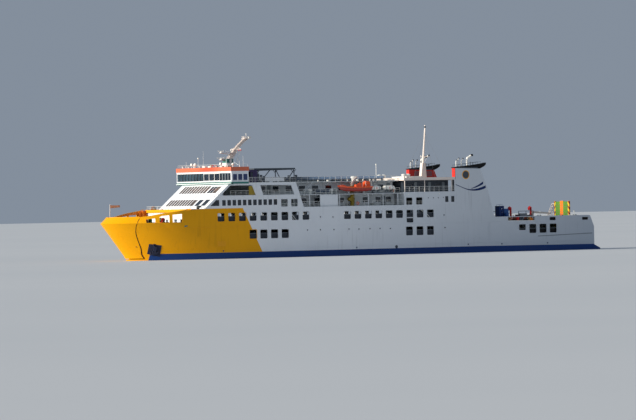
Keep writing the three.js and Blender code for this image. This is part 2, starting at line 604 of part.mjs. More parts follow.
add("wheelhouse", cutAll(
  boxSolid(WHEELHOUSE.x0, WHEELHOUSE.x1, -WING_HALF, WING_HALF, WHEELHOUSE.z0, WHEELHOUSE.z1),
  [bridgeRoom, ...bridgeCutters]), WHITE);
const EAVES = 10;
add("wheelhouse_roof", boxSolid(WHEELHOUSE.x0 - EAVES, WHEELHOUSE.x1 + EAVES, -WING_HALF - 6, WING_HALF + 6,
  WHEELHOUSE_TOP, ROOF_TOP), ORANGE, 0.5);
const OFFICERS = { x0: 2500, x1: WHEELHOUSE.x0 - 12, half: 815, top: 1660, window: 2650 };
add("officers_house", cutAll(
  hollowBlock(OFFICERS.x0, OFFICERS.x1, OFFICERS.half, WHEELHOUSE.z0, OFFICERS.top, PANEL),
  windowRow([OFFICERS.window], 100, 1440, 1620)), DARK, 0.6);

// Sun canopy over the top deck
const CANOPY = { x0: 1640, x1: 2560, half: 800, low: 1662, top: 1690 };
add("top_deck_canopy", joinAll([
  boxSolid(CANOPY.x0, CANOPY.x1, -CANOPY.half, CANOPY.half, CANOPY.low, CANOPY.top),
  ...postPairs([2470, 2080, 1660], CANOPY.half - 10, WHEELHOUSE.z0, CANOPY.low + 8),
]), DARK, 0.7);

// Foremast, raked aft, with two radar platforms, a yard and a signal pole
const RADAR_X = 2785;
// name, level of the platform, half length of the scanner, platform's after end
const RADARS = [
  ["lower_radar", 1874, 130, 2540],
  ["upper_radar", 2004, 105, 2480],
];
const FOREMAST = [
  [2570, ROOF_TOP + 0.5], [2690, ROOF_TOP + 0.5], [2600, 1900], [2510, 2060], [2380, 2190],
  [2290, 2285], [2262, 2262], [2350, 2160], [2460, 2040], [2530, 1900],
];
const MAST_TOP = 2262;
add("foremast", joinAll([
  acrossSolid(FOREMAST, -22, 22),
  boxSolid(CANOPY.x1, 2730, -60, 60, OFFICERS.top + GAP, 1760),
  boxSolid(2150, 2290, -60, 60, MAST_TOP, MAST_TOP + 14),
  upRod(2219, 0, MAST_TOP + 8, 2370, 8),
  boxSolid(2440, 2470, -190, 190, 2060, 2074),
  ...RADARS.map(([, level, , aft]) => boxSolid(aft, RADAR_X + 30, -30, 30, level - 12, level)),
]), WHITE, 0.5);
for (const [name, level, half] of RADARS) {
  add(name, joinAll([
    upRod(RADAR_X, 0, level + GAP, level + 22, 14),
    boxSolid(RADAR_X - 12, RADAR_X + 12, -half, half, level + 18, level + 38),
  ]), WHITE, 0.4);
}

// Rescue boat, an open hull with a console and a tall engine cover
const BOAT_PLAN = [
  [BOAT.x0, -84], [BOAT.x0, 84], [440, BOAT.half], [560, 70], [BOAT.x1, 0], [560, -70], [440, -BOAT.half],
];
const BOAT_PROFILE = [[BOAT.x0, BOAT.keel + 32], [-10, BOAT.keel], [475, BOAT.keel], [BOAT.x1, BOAT.stem],
  [540, BOAT.gunwale], [BOAT.x0, BOAT.gunwale - 6]];
const WELL_FLOOR = 1256;
const boatHull = upSolid(BOAT_PLAN.map(([x, y]) => [x, y + BOAT.y]), PROMENADE, TOP_DECK)
  .intersect(acrossSolid(BOAT_PROFILE));
const WELL_END = 515;
const boatWell = upSolid(BOAT_PLAN.map(([x, y]) => [x * 0.94 + 16, y * 0.82 + BOAT.y]), WELL_FLOOR, TOP_DECK)
  .intersect(crossBox(BOAT.x0, WELL_END, WELL_FLOOR, TOP_DECK));
// x0, x1, half width, top
const BOAT_FITTINGS = [
  [140, 270, 32, 1350],
  [-44, 57, 40, 1420],
];
add("rescue_boat", joinAll([
  boatHull.subtract(boatWell),
  ...BOAT_FITTINGS.map(([x0, x1, half, top]) =>
    boxSolid(x0, x1, BOAT.y - half, BOAT.y + half, WELL_FLOOR - 6, top)),
]), BOAT_RED, 0.45);

// The boat's slewing davit
add("davit_post", upRod(DAVIT.x, DAVIT.y, HOUSE_FLOOR, DAVIT.top, DAVIT.radius, 16), OLIVE, 0.6);
const ARM_TIP = { x: DAVIT.x - 120, z: DAVIT.top + 170 };
add("davit_arm", joinAll([
  upRod(DAVIT.x, DAVIT.y, DAVIT.top + GAP, DAVIT.top + 40, 26),
  rodSolid([DAVIT.x + 22, DAVIT.y, DAVIT.top + 24], [ARM_TIP.x, DAVIT.y, ARM_TIP.z], 12, 9),
  upRod(ARM_TIP.x + 2, DAVIT.y, ARM_TIP.z - 80, ARM_TIP.z - 4, 3, 8),
]), WHITE, 0.5);

// Life rafts, canisters in cradles on one foot rail: x of the centre, length
const RAFTS = { y: 750, radius: 42, z: 1284, cradle: 40, offset: 60 };
const CANISTERS = [
  [-224, 220],
  [-524, 260],
];
const raftParts = [boxSolid(-590, -160, RAFTS.y - 6, RAFTS.y + 6, PROMENADE + GAP, PROMENADE + 20)];
for (const [x, length] of CANISTERS) {
  raftParts.push(alongRod(x - length / 2, x + length / 2, RAFTS.y, RAFTS.z, RAFTS.radius));
  for (const offset of [-RAFTS.offset, RAFTS.offset]) {
    raftParts.push(boxSolid(x + offset - POST_HALF, x + offset + POST_HALF, RAFTS.y - RAFTS.cradle,
      RAFTS.y + RAFTS.cradle, PROMENADE + GAP, RAFTS.z - 26));
  }
}
addPair("life_rafts", joinAll(raftParts), WHITE, 0.5);

// Funnels flush with the ship's sides: x, z of the outline
const FUNNEL_Y = 735;
const FUNNEL = [
  [-2972, AFT_RAIL + GAP], [-2927, 726], [-2774, 1264], [-2616, 1626],
  [FUNNEL_FRONT_X, 1642], [FUNNEL_FRONT_X, AFT_RAIL + GAP],
];
addPair("funnel", joinAll([
  acrossSolid(FUNNEL, FUNNEL_Y, HALF_BEAM),
  boxSolid(-2900, FUNNEL_FRONT_X, FUNNEL_Y, HALF_BEAM - WALL - 2 * GAP, UPPER_CAR_DECK + GAP, AFT_RAIL + 10),
]), WHITE);

// Wedge caps with exhaust pipes: x, radius, level of the bend, top, how far the tip leans aft
const PIPES = [
  [-2085, 9, 1775, 1800, 22],
  [-2130, 9, 1805, 1834, 30],
  [-2215, 10, 1795, 1828, 40],
  [-2350, 20, 1842, 1890, 125],
];
const CAP = [
  [FUNNEL_FRONT_X + 12, 1643], [-2616, 1626 + GAP], [-2750, 1690], [-2762, 1741], [FUNNEL_FRONT_X + 12, 1656],
];
const capParts = [acrossSolid(CAP, FUNNEL_Y - 6, HALF_BEAM + 2)];
const pipeY = (FUNNEL_Y + HALF_BEAM) / 2;
for (const [x, radius, bend, top, lean] of PIPES) {
  capParts.push(upRod(x, pipeY, 1648, bend, radius));
  capParts.push(rodSolid([x, pipeY, bend - radius / 2], [x - lean, pipeY, top], radius));
}
addPair("funnel_cap", joinAll(capParts), DARK, 0.6);
add("machinery_casing", boxSolid(-2560, -2060, -420, 420, UPPER_CAR_DECK + GAP, PROMENADE), WHITE);

// After mast: a tapered foot, a pole with a bracket, and a light
const AFT_MAST = {
  foot: -1840, neck: -1847, neckZ: 1758, top: -1912, topZ: 2440, lightZ: 2470, lightTop: 2495,
};
add("aft_mast", joinAll([
  acrossSolid([[AFT_MAST.foot - 64, SHELTER.top + GAP], [AFT_MAST.foot + 64, SHELTER.top + GAP],
    [AFT_MAST.neck + 35, AFT_MAST.neckZ], [AFT_MAST.neck - 35, AFT_MAST.neckZ]], -40, 40),
  rodSolid([AFT_MAST.neck, 0, AFT_MAST.neckZ - 20], [AFT_MAST.top, 0, AFT_MAST.topZ], 21, 13),
  boxSolid(-2010, -1870, -12, 12, 1880, 1890),
  upRod(AFT_MAST.top, 0, AFT_MAST.topZ - 10, AFT_MAST.lightZ + 5, 5, 8),
  upRod(AFT_MAST.top, 0, AFT_MAST.lightZ, AFT_MAST.lightTop, 13),
]), WHITE, 0.45);

// Gear on the after mooring deck: the stair house, cowl vents and the crane with its crutch
const DECK_LEVEL = AFT_DECK + GAP;
add("stair_house", boxSolid(-3366, -3243, 430, 560, DECK_LEVEL, 890), NAVY, 0.6);
const COWL = { y: 500, stem: 20, top: 832, mouth: 34 };
for (const [name, x] of [["fore_cowl_vent", -3565], ["aft_cowl_vent", -4050]]) {
  add(name, joinAll([
    upRod(x, COWL.y, DECK_LEVEL, COWL.top, COWL.stem),
    rodSolid([x - 4, COWL.y, COWL.top + 2], [x + 34, COWL.y, COWL.top + 16], COWL.mouth - 6, COWL.mouth),
  ]), RED, 0.5);
}
const CRANE = { x: -4226, y: 300, pivot: 759, post: 26, pin: 5.7, cheek: 8, length: 455, drop: 31 };
const BOOM = { half: 14, root: 14, tip: 9 };
const craneCheek = [[CRANE.x - 26, 722], [CRANE.x + 26, 722], [CRANE.x + 16, 779], [CRANE.x - 16, 779]];
add("deck_crane_post", joinAll([
  upRod(CRANE.x, CRANE.y, DECK_LEVEL, 726, CRANE.post),
  acrossSolid(craneCheek, CRANE.y + 20, CRANE.y + 20 + CRANE.cheek),
  acrossSolid(craneCheek, CRANE.y - 20 - CRANE.cheek, CRANE.y - 20),
  acrossRod(CRANE.x, CRANE.y - 24, CRANE.y + 24, CRANE.pivot, CRANE.pin),
]), WHITE, 0.5);
const boomEnds = [[CRANE.x + BOOM.root, CRANE.pivot, BOOM.root],
  [CRANE.x - CRANE.length, CRANE.pivot - CRANE.drop, BOOM.tip]];
const [boomLower, boomUpper] = [-1, 1].map((way) => boomEnds.map(([x, z, half]) => [x, z + way * half]));
const boom = acrossSolid([...boomLower, ...boomUpper.reverse()], CRANE.y - BOOM.half, CRANE.y + BOOM.half);
const boomBore = acrossRod(CRANE.x, CRANE.y - 30, CRANE.y + 30, CRANE.pivot, CRANE.pin + GAP);
add("deck_crane_boom", boom.subtract(boomBore), CREAM, 0.5);

// The crutch: two legs that lean aft, with a bar under the boom
const CRUTCH = { leg: 12, inner: 22, barX: -4630, barHalf: 15, barDepth: 22 };
const CRUTCH_LEG = [[-4565, DECK_LEVEL], [-4542, DECK_LEVEL], [-4737, 930], [-4752, 930]];
const boomUnderside = (x) => CRANE.pivot - BOOM.root
  - (CRANE.drop + BOOM.tip - BOOM.root) * (CRANE.x + BOOM.root - x) / (CRANE.length + BOOM.root);
const barTop = boomUnderside(CRUTCH.barX - CRUTCH.barHalf) - GAP;
add("boom_crutch", joinAll([
  acrossSolid(CRUTCH_LEG, CRANE.y - CRUTCH.inner - CRUTCH.leg, CRANE.y - CRUTCH.inner),
  acrossSolid(CRUTCH_LEG, CRANE.y + CRUTCH.inner, CRANE.y + CRUTCH.inner + CRUTCH.leg),
  boxSolid(CRUTCH.barX - CRUTCH.barHalf, CRUTCH.barX + CRUTCH.barHalf, CRANE.y - 30, CRANE.y + 30,
    barTop - CRUTCH.barDepth, barTop),
]), CREAM, 0.5);

// Propellers with their tail shafts
function propeller(y) {
  const hubProfile = [[0, 42], [16, 34], [26, 10], [26, -24], [22, -30], [0, -30]];
  const hub = new THREE.LatheGeometry(hubProfile.reverse().map(([r, x]) => new THREE.Vector2(r, x)), 16);
  hub.rotateZ(Math.PI / 2);
  const parts = [toSolid(hub), alongRod(0, 100, 0, 0, SHAFT.radius)];
  const outline = new THREE.Shape();
  outline.absellipse(0, 72, 36, 50, 0, Math.PI * 2, false, 0);
  for (let i = 0; i < PROPELLER.blades; i += 1) {
    const blade = new THREE.ExtrudeGeometry(outline, { depth: 5, bevelEnabled: false, curveSegments: 10 });
    blade.translate(0, 0, -2.5);
    blade.rotateY(Math.PI / 2 - PROPELLER.pitch);
    blade.rotateX(Math.PI * 2 / PROPELLER.blades * i);
    parts.push(toSolid(blade));
  }
  return joinAll(parts).translate([PROPELLER.x, y, SHAFT.z]);
}
add("port_propeller", propeller(SHAFT.y), BRONZE, 0.35, 0.8);
add("starboard_propeller", propeller(-SHAFT.y), BRONZE, 0.35, 0.8);

// Spade rudders: x, y of one half of the section
const RUDDER_HALF = [[-4725, 0], [-4740, 13], [-4790, 19], [-4860, 12], [-4945, 2]];
const rudderSection = [...RUDDER_HALF, ...RUDDER_HALF.slice(1).reverse().map(([x, y]) => [x, -y])];
addPair("rudder", joinAll([
  upSolid(rudderSection.map(([x, y]) => [x, y + SHAFT.y]), -404, -140),
  upRod(RUDDER.x, SHAFT.y, -200, RUDDER.top - GAP, RUDDER.stock),
]), NAVY, 0.5);

// Anchors on their bolster plates, fitted to the flare of the bow: x, z of the outlines
const BOLSTER = [[4706, 310], [4492, 277], [4474, 63], [4688, 124]];
const SHANK = [[4590, 260], [4576, 260], [4566, 120], [4590, 120]];
const FLUKES = [
  [4630, 175], [4615, 120], [4545, 112], [4520, 160], [4535, 165], [4555, 135], [4605, 142], [4618, 178],
];
const hullSkin = hullForm(-GAP, KEEL, OUTSIDE);
function onHull(solid, thick) {
  return solid.intersect(hullForm(-thick, KEEL, OUTSIDE)).subtract(hullSkin);
}
const bolster = onHull(acrossSolid(BOLSTER, 100, HALF_BEAM), 5);
const anchor = onHull(joinAll([acrossSolid(SHANK, 300, 560), acrossSolid(FLUKES, 300, 560)]), 22);
addPair("anchor", bolster.add(anchor), NAVY, 0.5);

// Staff and flag at the stem head
const STAFF = { x: 5265, lean: 10, top: 1062 };
const staff = rodSolid([STAFF.x, 0, KNUCKLE + GAP], [STAFF.x - STAFF.lean, 0, STAFF.top], 5, 4, 8);
add("bow_flagstaff", staff, CREAM, 0.5);
add("bow_flag", boxSolid(STAFF.x - 240, STAFF.x - 14.3, -4, 4, 985, 1050), FLAG_ORANGE, 0.8);

export default group;
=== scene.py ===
# A roll-on roll-off passenger ferry, as a scale model at 1:10, afloat on a pale studio floor.
# Tables and helper calls are in millimetres of the model; Blender's meshes are in metres.
import json
import math

import bmesh
import bpy
from mathutils import Matrix, Vector

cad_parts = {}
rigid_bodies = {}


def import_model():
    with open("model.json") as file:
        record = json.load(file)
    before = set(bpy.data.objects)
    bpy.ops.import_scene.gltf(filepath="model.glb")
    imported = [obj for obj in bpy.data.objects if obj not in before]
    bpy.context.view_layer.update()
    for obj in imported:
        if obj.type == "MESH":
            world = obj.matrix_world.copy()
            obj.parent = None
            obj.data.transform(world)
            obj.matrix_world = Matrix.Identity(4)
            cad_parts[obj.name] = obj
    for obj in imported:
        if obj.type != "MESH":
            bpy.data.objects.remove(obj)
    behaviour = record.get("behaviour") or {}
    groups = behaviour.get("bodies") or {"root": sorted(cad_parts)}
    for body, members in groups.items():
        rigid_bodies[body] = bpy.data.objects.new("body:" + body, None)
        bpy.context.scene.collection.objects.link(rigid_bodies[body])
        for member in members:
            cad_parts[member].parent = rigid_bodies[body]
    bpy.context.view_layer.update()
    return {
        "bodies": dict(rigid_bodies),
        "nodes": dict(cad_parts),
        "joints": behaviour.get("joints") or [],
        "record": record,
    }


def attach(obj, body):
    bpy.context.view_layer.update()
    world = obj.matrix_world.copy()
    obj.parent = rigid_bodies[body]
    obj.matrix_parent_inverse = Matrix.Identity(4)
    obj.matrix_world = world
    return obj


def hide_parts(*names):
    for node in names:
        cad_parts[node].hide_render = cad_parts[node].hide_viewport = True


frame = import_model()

NODES = frame["nodes"]
MM = 0.001
SHIP = "ship"

# The same named sizes as the ship's structure
HALF_BEAM = 835
WALL = 12
CAR_DECK = 180
CAR_DECK_TOP = 188
AFT_DECK = 580
KNUCKLE = 700
AFT_RAIL = 675
HOUSE_FLOOR = 946
PROMENADE = 1180
TOP_DECK = 1412
TOP_DECK_FACE = 1424
ROOF_TOP = 1722
HOUSE_FRONT_X = 3690
FRONT_RAKE = 1.196
FUNNEL_FRONT_X = -2020
INNER_HALF = 560
UPPER_INNER_HALF = 500
SHELTER_FLOOR = 1194
UP = (0, 0, 1)
PORT = (0, 1, 0)
AHEAD = (1, 0, 0)


def linear(red, green, blue):
    """A colour as seen on screen, 0 to 255, as the shader's own numbers."""
    def one(value):
        value /= 255
        return value / 12.92 if value <= 0.04045 else ((value + 0.055) / 1.055) ** 2.4
    return (one(red), one(green), one(blue), 1.0)


# Camera, at the photograph's viewing angle: where it stands, in degrees from the beam and in metres
VIEW_TURN, VIEW_DISTANCE, VIEW_HEIGHT = 33.49996, 89.53614, 0.83123
# Its own angles in degrees, its focal length in pixels of the photograph, and the photograph's width
VIEW_YAW, VIEW_PITCH, VIEW_ROLL = -0.331182, 0.0326117, 1.1512523
FOCAL_PIXELS, PHOTO_WIDTH, SENSOR_WIDTH = 4644.1716, 636, 36


def make_camera():
    """The camera solved from the photograph."""
    turn, yaw, pitch, roll = (math.radians(a) for a in (VIEW_TURN, VIEW_YAW, VIEW_PITCH, VIEW_ROLL))
    level = Vector((-math.sin(turn + yaw), -math.cos(turn + yaw), 0))
    ahead = level * math.cos(pitch) + Vector((0, 0, math.sin(pitch)))
    right = ahead.cross(Vector(UP)).normalized()
    up = right.cross(ahead)
    side = right * math.cos(roll) - up * math.sin(roll)
    top = up * math.cos(roll) + right * math.sin(roll)
    data = bpy.data.cameras.new("camera")
    data.sensor_width = SENSOR_WIDTH
    data.lens = FOCAL_PIXELS / PHOTO_WIDTH * SENSOR_WIDTH
    data.clip_start, data.clip_end = 1, 2000
    camera = bpy.data.objects.new("camera", data)
    camera.matrix_world = Matrix((
        (side.x, top.x, -ahead.x, VIEW_DISTANCE * math.sin(turn)),
        (side.y, top.y, -ahead.y, VIEW_DISTANCE * math.cos(turn)),
        (side.z, top.z, -ahead.z, VIEW_HEIGHT), (0, 0, 0, 1)))
    bpy.context.collection.objects.link(camera)
    bpy.context.scene.camera = camera


make_camera()


# Materials
class Shader:
    """Builds one node material, with short names for the nodes used again and again."""

    def __init__(self, name):
        self.material = bpy.data.materials.new(name)
        self.material.use_nodes = True
        self.tree = self.material.node_tree
        self.main = self.tree.nodes["Principled BSDF"]
        self.where = self.tree.nodes.new("ShaderNodeTexCoord").outputs["Object"]

    def node(self, kind, **inputs):
        made = self.tree.nodes.new("ShaderNode" + kind)
        for key, value in inputs.items():
            self.put(made.inputs[key.replace("_", " ")], value)
        return made

    def put(self, socket, value):
        if isinstance(value, bpy.types.NodeSocket):
            self.tree.links.new(value, socket)
        else:
            socket.default_value = value

    def math(self, kind, a, b=0.0):
        made = self.tree.nodes.new("ShaderNodeMath")
        made.operation = kind
        self.put(made.inputs[0], a)
        self.put(made.inputs[1], b)
        return made.outputs[0]

    def both(self, *conditions):
        """One where every condition holds."""
        found = conditions[0]
        for other in conditions[1:]:
            found = self.math("MULTIPLY", found, other)
        return found

    def over(self, value, limit):
        return self.math("GREATER_THAN", value, limit)

    def under(self, value, limit):
        return self.math("LESS_THAN", value, limit)

    def axes(self):
        return self.node("SeparateXYZ", Vector=self.where).outputs

    def stretched(self, x, y, z):
        made = self.node("Mapping", Vector=self.where)
        made.inputs["Scale"].default_value = (x, y, z)
        return made.outputs[0]

    def noise(self, scale, detail=4.0, vector=None, rough=0.55):
        made = self.node("TexNoise", Scale=scale, Detail=detail, Roughness=rough)
        self.put(made.inputs["Vector"], vector or self.where)
        return made.outputs["Fac"]

    def ramp(self, value, low, high, to_low=0.0, to_high=1.0):
        made = self.tree.nodes.new("ShaderNodeMapRange")
        made.clamp = True
        for index, number in enumerate((value, low, high, to_low, to_high)):
            self.put(made.inputs[index], number)
        return made.outputs[0]

    def mix(self, factor, a, b):
        made = self.tree.nodes.new("ShaderNodeMix")
        made.data_type = "RGBA"
        self.put(made.inputs[0], factor)
        self.put(made.inputs[6], a)
        self.put(made.inputs[7], b)
        return made.outputs[2]

    def bump(self, height, strength=0.3, depth=0.002):
        return self.node("Bump", Height=height, Strength=strength, Distance=depth).outputs[0]

    def done(self, colour, rough, normal, **plain):
        self.put(self.main.inputs["Base Color"], colour)
        self.put(self.main.inputs["Roughness"], rough)
        self.put(self.main.inputs["Normal"], normal)
        for key, value in plain.items():
            self.main.inputs[key.replace("_", " ")].default_value = value
        return self.material

    def painted(self, colour, rough=0.42, plates=True, depth=0.003, shine=0.35):
        """Finishes a paint: uneven gloss, and welded plates or a fine brushed surface under it."""
        height = plating(self) if plates else self.noise(45, 4)
        gloss = self.ramp(self.noise(6, 4), 0.3, 0.7, rough - 0.07, rough + 0.12)
        normal = self.bump(height, 0.35 if plates else 0.2, depth if plates else 0.001)
        return self.done(colour, gloss, normal, Specular_IOR_Level=shine)


RUST = linear(120, 62, 30)
DIRT = linear(70, 66, 60)


def weathered(s, colour, rust=0.35, grime=0.35, dirt=DIRT):
    """Lays faded patches, runs of dirt down the plating and a little rust over a paint."""
    patches = s.ramp(s.noise(1.7, 5), 0.3, 0.7, 0.0, 0.3 * grime)
    colour = s.mix(patches, colour, dirt)
    runs = s.noise(1.0, 3, s.stretched(26, 26, 1.3))
    where = s.noise(0.9, 2, s.stretched(1, 1, 2))
    runs = s.both(s.ramp(runs, 0.56, 0.78), s.ramp(where, 0.42, 0.62))
    colour = s.mix(s.math("MULTIPLY", runs, grime), colour, dirt)
    spots = s.noise(11, 6, s.stretched(1, 1, 0.35), 0.7)
    return s.mix(s.math("MULTIPLY", s.ramp(spots, 0.68, 0.76), rust), colour, RUST)


def plating(s, pitch_x=0.6, pitch_z=0.24):
    """Height of welded plate: seams every pitch, and a slight hollow between the frames."""
    x, _, z = s.axes()
    seams = []
    for value, pitch in ((x, pitch_x), (z, pitch_z)):
        part = s.math("FRACT", s.math("DIVIDE", value, pitch))
        off_middle = s.math("ABSOLUTE", s.math("SUBTRACT", part, 0.5))
        seams.append(s.ramp(off_middle, 0.0, 0.008 / pitch))
    seam = s.math("MINIMUM", *seams)
    dents = s.noise(3.2, 2, s.stretched(2.4, 2.4, 1.4))
    height = s.math("ADD", s.math("MULTIPLY", seam, 0.35), dents)
    return s.math("ADD", height, s.math("MULTIPLY", s.noise(85, 3), 0.03))


def paint(name, colour, rough=0.42, rust=0.3, grime=0.25, plates=True, shine=0.35):
    """One weathered paint, over welded plates or without them."""
    s = Shader(name)
    return s.painted(weathered(s, colour, rust, grime), rough, plates, shine=shine)


WHITE_PAINT = linear(234, 237, 241)
YELLOW_PAINT = linear(242, 170, 0)
NAVY_PAINT = linear(25, 62, 124)
# Orange of the bow's inner faces: its own colour, made brighter as painted light bounced off the yellow bow
BOW_ORANGE_WITH_PAINTED_BOUNCE = linear(252, 138, 14)
# Grey that the whites darken to towards the stern: painted shade
AFT_SHADE_WHITE = linear(156, 166, 178)
RED_LEAD = linear(104, 40, 34)
FUNNEL_RED = linear(206, 44, 34)
# Dust on yellow paint stays warm
WARM_DIRT = linear(150, 96, 10)
# The slanted edge of the yellow bow: x and z of two of its points, in metres
YELLOW_EDGE = (2.432, 0.12, 2.847, 0.937)
BOOT_TOP = 0.119
WATER_PAINT = -0.03
VISOR_FOOT_X = 4.64
# Where one paint gives way to another, in metres
BOW_INSIDE_X, BOW_INSIDE_Z = 3.96, 0.69
ROOF_EDGE_Z = 1.643
APRON_Z = 1.437
LIP_AFT_X, LIP_FORE_X, LIP_Z = 3.9, 3.962, 0.9445
FUNNEL_INNER_Y, FUNNEL_RED_X, FUNNEL_RED_Z = 0.742, -2.03, 1.47
RAMP_STRIPE, RAMP_BARS, RAMP_PITCH = 0.05, 0.205, 0.11


def weathered_white_shaded_aft(s, x, rust=0.22, grime=0.2):
    """White paint, weathered, and darkened towards the stern with painted shade."""
    return s.mix(s.ramp(x, 0.5, -5.4, 0.0, 0.75), weathered(s, WHITE_PAINT, rust, grime), AFT_SHADE_WHITE)


def hull_paint():
    """White with the yellow bow and the navy boot-top, which the bow visor's foot doesn't carry."""
    s = Shader("hull_paint")
    x, _, z = s.axes()
    x0, z0, x1, z1 = YELLOW_EDGE
    edge = s.math("ADD", s.math("MULTIPLY", s.math("SUBTRACT", z, z0), (x1 - x0) / (z1 - z0)), x0)
    # The white darkens towards the stern: painted shade
    white = weathered_white_shaded_aft(s, x)
    colour = s.mix(s.over(x, edge), white, weathered(s, YELLOW_PAINT, 0.22, 0.3, WARM_DIRT))
    line = s.math("SUBTRACT", BOOT_TOP, s.ramp(x, -5.4, -2.6, 0.012, 0.0))
    navy = s.both(s.under(z, line), s.under(x, VISOR_FOOT_X))
    colour = s.mix(navy, colour, weathered(s, NAVY_PAINT, 0.3, 0.3))
    colour = s.mix(s.under(z, WATER_PAINT), colour, weathered(s, RED_LEAD, 0.2, 0.5))
    return s.painted(colour, 0.4, shine=0.2)


def white_paint():
    """The houses' white, darkened towards the stern with painted shade."""
    s = Shader("house_white")
    return s.painted(weathered_white_shaded_aft(s, s.axes()[0], 0.2, 0.15), 0.42)


def visor_paint():
    """Yellow, red below the waterline."""
    s = Shader("visor_paint")
    _, _, z = s.axes()
    colour = weathered(s, YELLOW_PAINT, 0.2, 0.25, WARM_DIRT)
    colour = s.mix(s.under(z, WATER_PAINT), colour, RED_LEAD)
    return s.painted(colour, 0.4, shine=0.2)


def inside_paint():
    """Inside faces: orange at the bow, brightened in part as painted bounce light, white on the vehicle
    decks.
    """
    s = Shader("inside_paint")
    x, _, z = s.axes()
    bow = s.both(s.over(x, BOW_INSIDE_X), s.over(z, BOW_INSIDE_Z))
    white = weathered(s, WHITE_PAINT, 0.5, 0.6)
    colour = s.mix(bow, white, weathered(s, BOW_ORANGE_WITH_PAINTED_BOUNCE, 0.8, 0.5, RUST))
    return s.painted(colour, 0.55)


def roof_paint():
    """The wheelhouse roof: orange, redder in the middle of its front."""
    s = Shader("roof_orange")
    _, y, z = s.axes()
    middle = s.ramp(s.math("ABSOLUTE", s.math("ADD", y, -0.15)), 0.12, 0.42, 0.75, 0.0)
    colour = s.mix(middle, linear(216, 112, 80), linear(208, 78, 52))
    colour = s.mix(s.under(z, ROOF_EDGE_Z), colour, WHITE_PAINT)
    return s.painted(weathered(s, colour, 0.2, 0.2), 0.45, False)


def bridge_paint():
    """White walls with a teal strip at the foot."""
    s = Shader("bridge_paint")
    _, _, z = s.axes()
    colour = s.mix(s.under(z, APRON_Z), weathered(s, WHITE_PAINT, 0.2, 0.15), linear(80, 146, 138))
    return s.painted(colour, 0.42)


def deck_plate_paint(name, top, edge):
    """A deck whose upper face is painted and worn, with its edges, posts and underside in another paint."""
    s = Shader(name)
    up = s.node("SeparateXYZ", Vector=s.node("NewGeometry").outputs["Normal"]).outputs[2]
    worn = s.mix(s.ramp(s.noise(2.3, 5), 0.48, 0.66, 0.0, 0.35), top, linear(128, 122, 110))
    worn = s.mix(s.ramp(s.noise(16, 5, None, 0.7), 0.66, 0.75, 0.0, 0.6), worn, RUST)
    colour = s.mix(s.over(up, 0.5), weathered(s, edge, 0.3, 0.3), worn)
    grit = s.noise(210, 2)
    return s.done(colour, s.ramp(grit, 0.3, 0.7, 0.6, 0.8), s.bump(grit, 0.4, 0.001))


def house_floor_paint():
    """The lowest passenger deck: yellow where it forms the lip over the forecastle, white aft."""
    s = Shader("house_floor_paint")
    x, _, z = s.axes()
    white = weathered(s, WHITE_PAINT, 0.3, 0.3)
    colour = s.mix(s.over(x, LIP_AFT_X), white, weathered(s, YELLOW_PAINT, 0.2, 0.2, WARM_DIRT))
    green = s.both(s.over(z, LIP_Z), s.under(x, LIP_FORE_X))
    return s.painted(s.mix(green, colour, linear(58, 96, 82)), 0.5, False)


def glass(name="window_glass", colour=(22, 34, 48), bright=(52, 70, 88), shine=0.8):
    """Dark window glass with brighter patches and a film of salt."""
    s = Shader(name)
    tint = s.mix(s.ramp(s.noise(2.2, 3), 0.35, 0.7), linear(*colour), linear(*bright))
    salt = s.ramp(s.noise(30, 5), 0.4, 0.75, 0.05, 0.22)
    return s.done(tint, salt, s.bump(s.noise(4, 2), 0.06, 0.001), Specular_IOR_Level=shine)


def rope(name, colour):
    """Laid rope: a wave of light and dark strands."""
    s = Shader(name)
    wave = s.node("TexWave", Scale=60.0, Distortion=1.5, Detail=2.0)
    s.put(wave.inputs["Vector"], s.where)
    lay = wave.outputs["Fac"]
    return s.done(s.mix(lay, colour, s.mix(0.5, colour, DIRT)), 0.9, s.bump(lay, 0.6, 0.002))


def metal(name, colour, rough=0.35, worn=0.4):
    """Bare brushed metal, with some rust."""
    s = Shader(name)
    brushed = s.noise(40, 4, s.stretched(1, 1, 8))
    colour = s.mix(s.ramp(s.noise(9, 5, None, 0.7), 0.55, 0.75, 0.0, worn), colour, RUST)
    gloss = s.ramp(brushed, 0.3, 0.7, rough - 0.1, rough + 0.15)
    return s.done(colour, gloss, s.bump(brushed, 0.15, 0.001), Metallic=0.85)


def plastic(name, colour, rough=0.3):
    """Glass-fibre or moulded plastic with a fine orange-peel surface, faded by the sun."""
    s = Shader(name)
    fade = s.ramp(s.noise(3, 4), 0.35, 0.7, 0.0, 0.22)
    colour = s.mix(fade, colour, s.mix(0.3, colour, linear(225, 220, 210)))
    gloss = s.ramp(s.noise(20, 3), 0.3, 0.7, rough - 0.06, rough + 0.12)
    return s.done(colour, gloss, s.bump(s.noise(120, 2), 0.12, 0.0006), Coat_Weight=0.15)


def cloth(name, colour):
    """Woven cloth: threads both ways, sun-bleached in patches."""
    s = Shader(name)
    waves = []
    for bands in ("X", "Z"):
        wave = s.node("TexWave", Scale=90.0, Vector=s.where)
        wave.bands_direction = bands
        waves.append(wave.outputs["Fac"])
    threads = s.math("MULTIPLY", *waves)
    colour = s.mix(s.ramp(s.noise(5, 3), 0.3, 0.7, 0.0, 0.3), colour, linear(255, 190, 150))
    colour = s.mix(s.math("MULTIPLY", threads, 0.25), colour, DIRT)
    return s.done(colour, 0.85, s.bump(threads, 0.5, 0.0008), Sheen_Weight=0.3)


def ramp_paint():
    """Green, with an orange stripe along the middle and yellow and dark bars along both edges."""
    s = Shader("ramp_paint")
    _, y, z = s.axes()
    off = s.math("ABSOLUTE", y)
    slant = s.math("FRACT", s.math("DIVIDE", s.math("ADD", off, z), RAMP_PITCH))
    bars = s.mix(s.over(slant, 0.5), linear(250, 200, 24), linear(150, 52, 30))
    colour = s.mix(s.under(off, RAMP_STRIPE), linear(88, 138, 38), linear(246, 122, 20))
    colour = s.mix(s.over(off, RAMP_BARS), colour, bars)
    return s.painted(weathered(s, colour, 0.3, 0.2), 0.55, False)


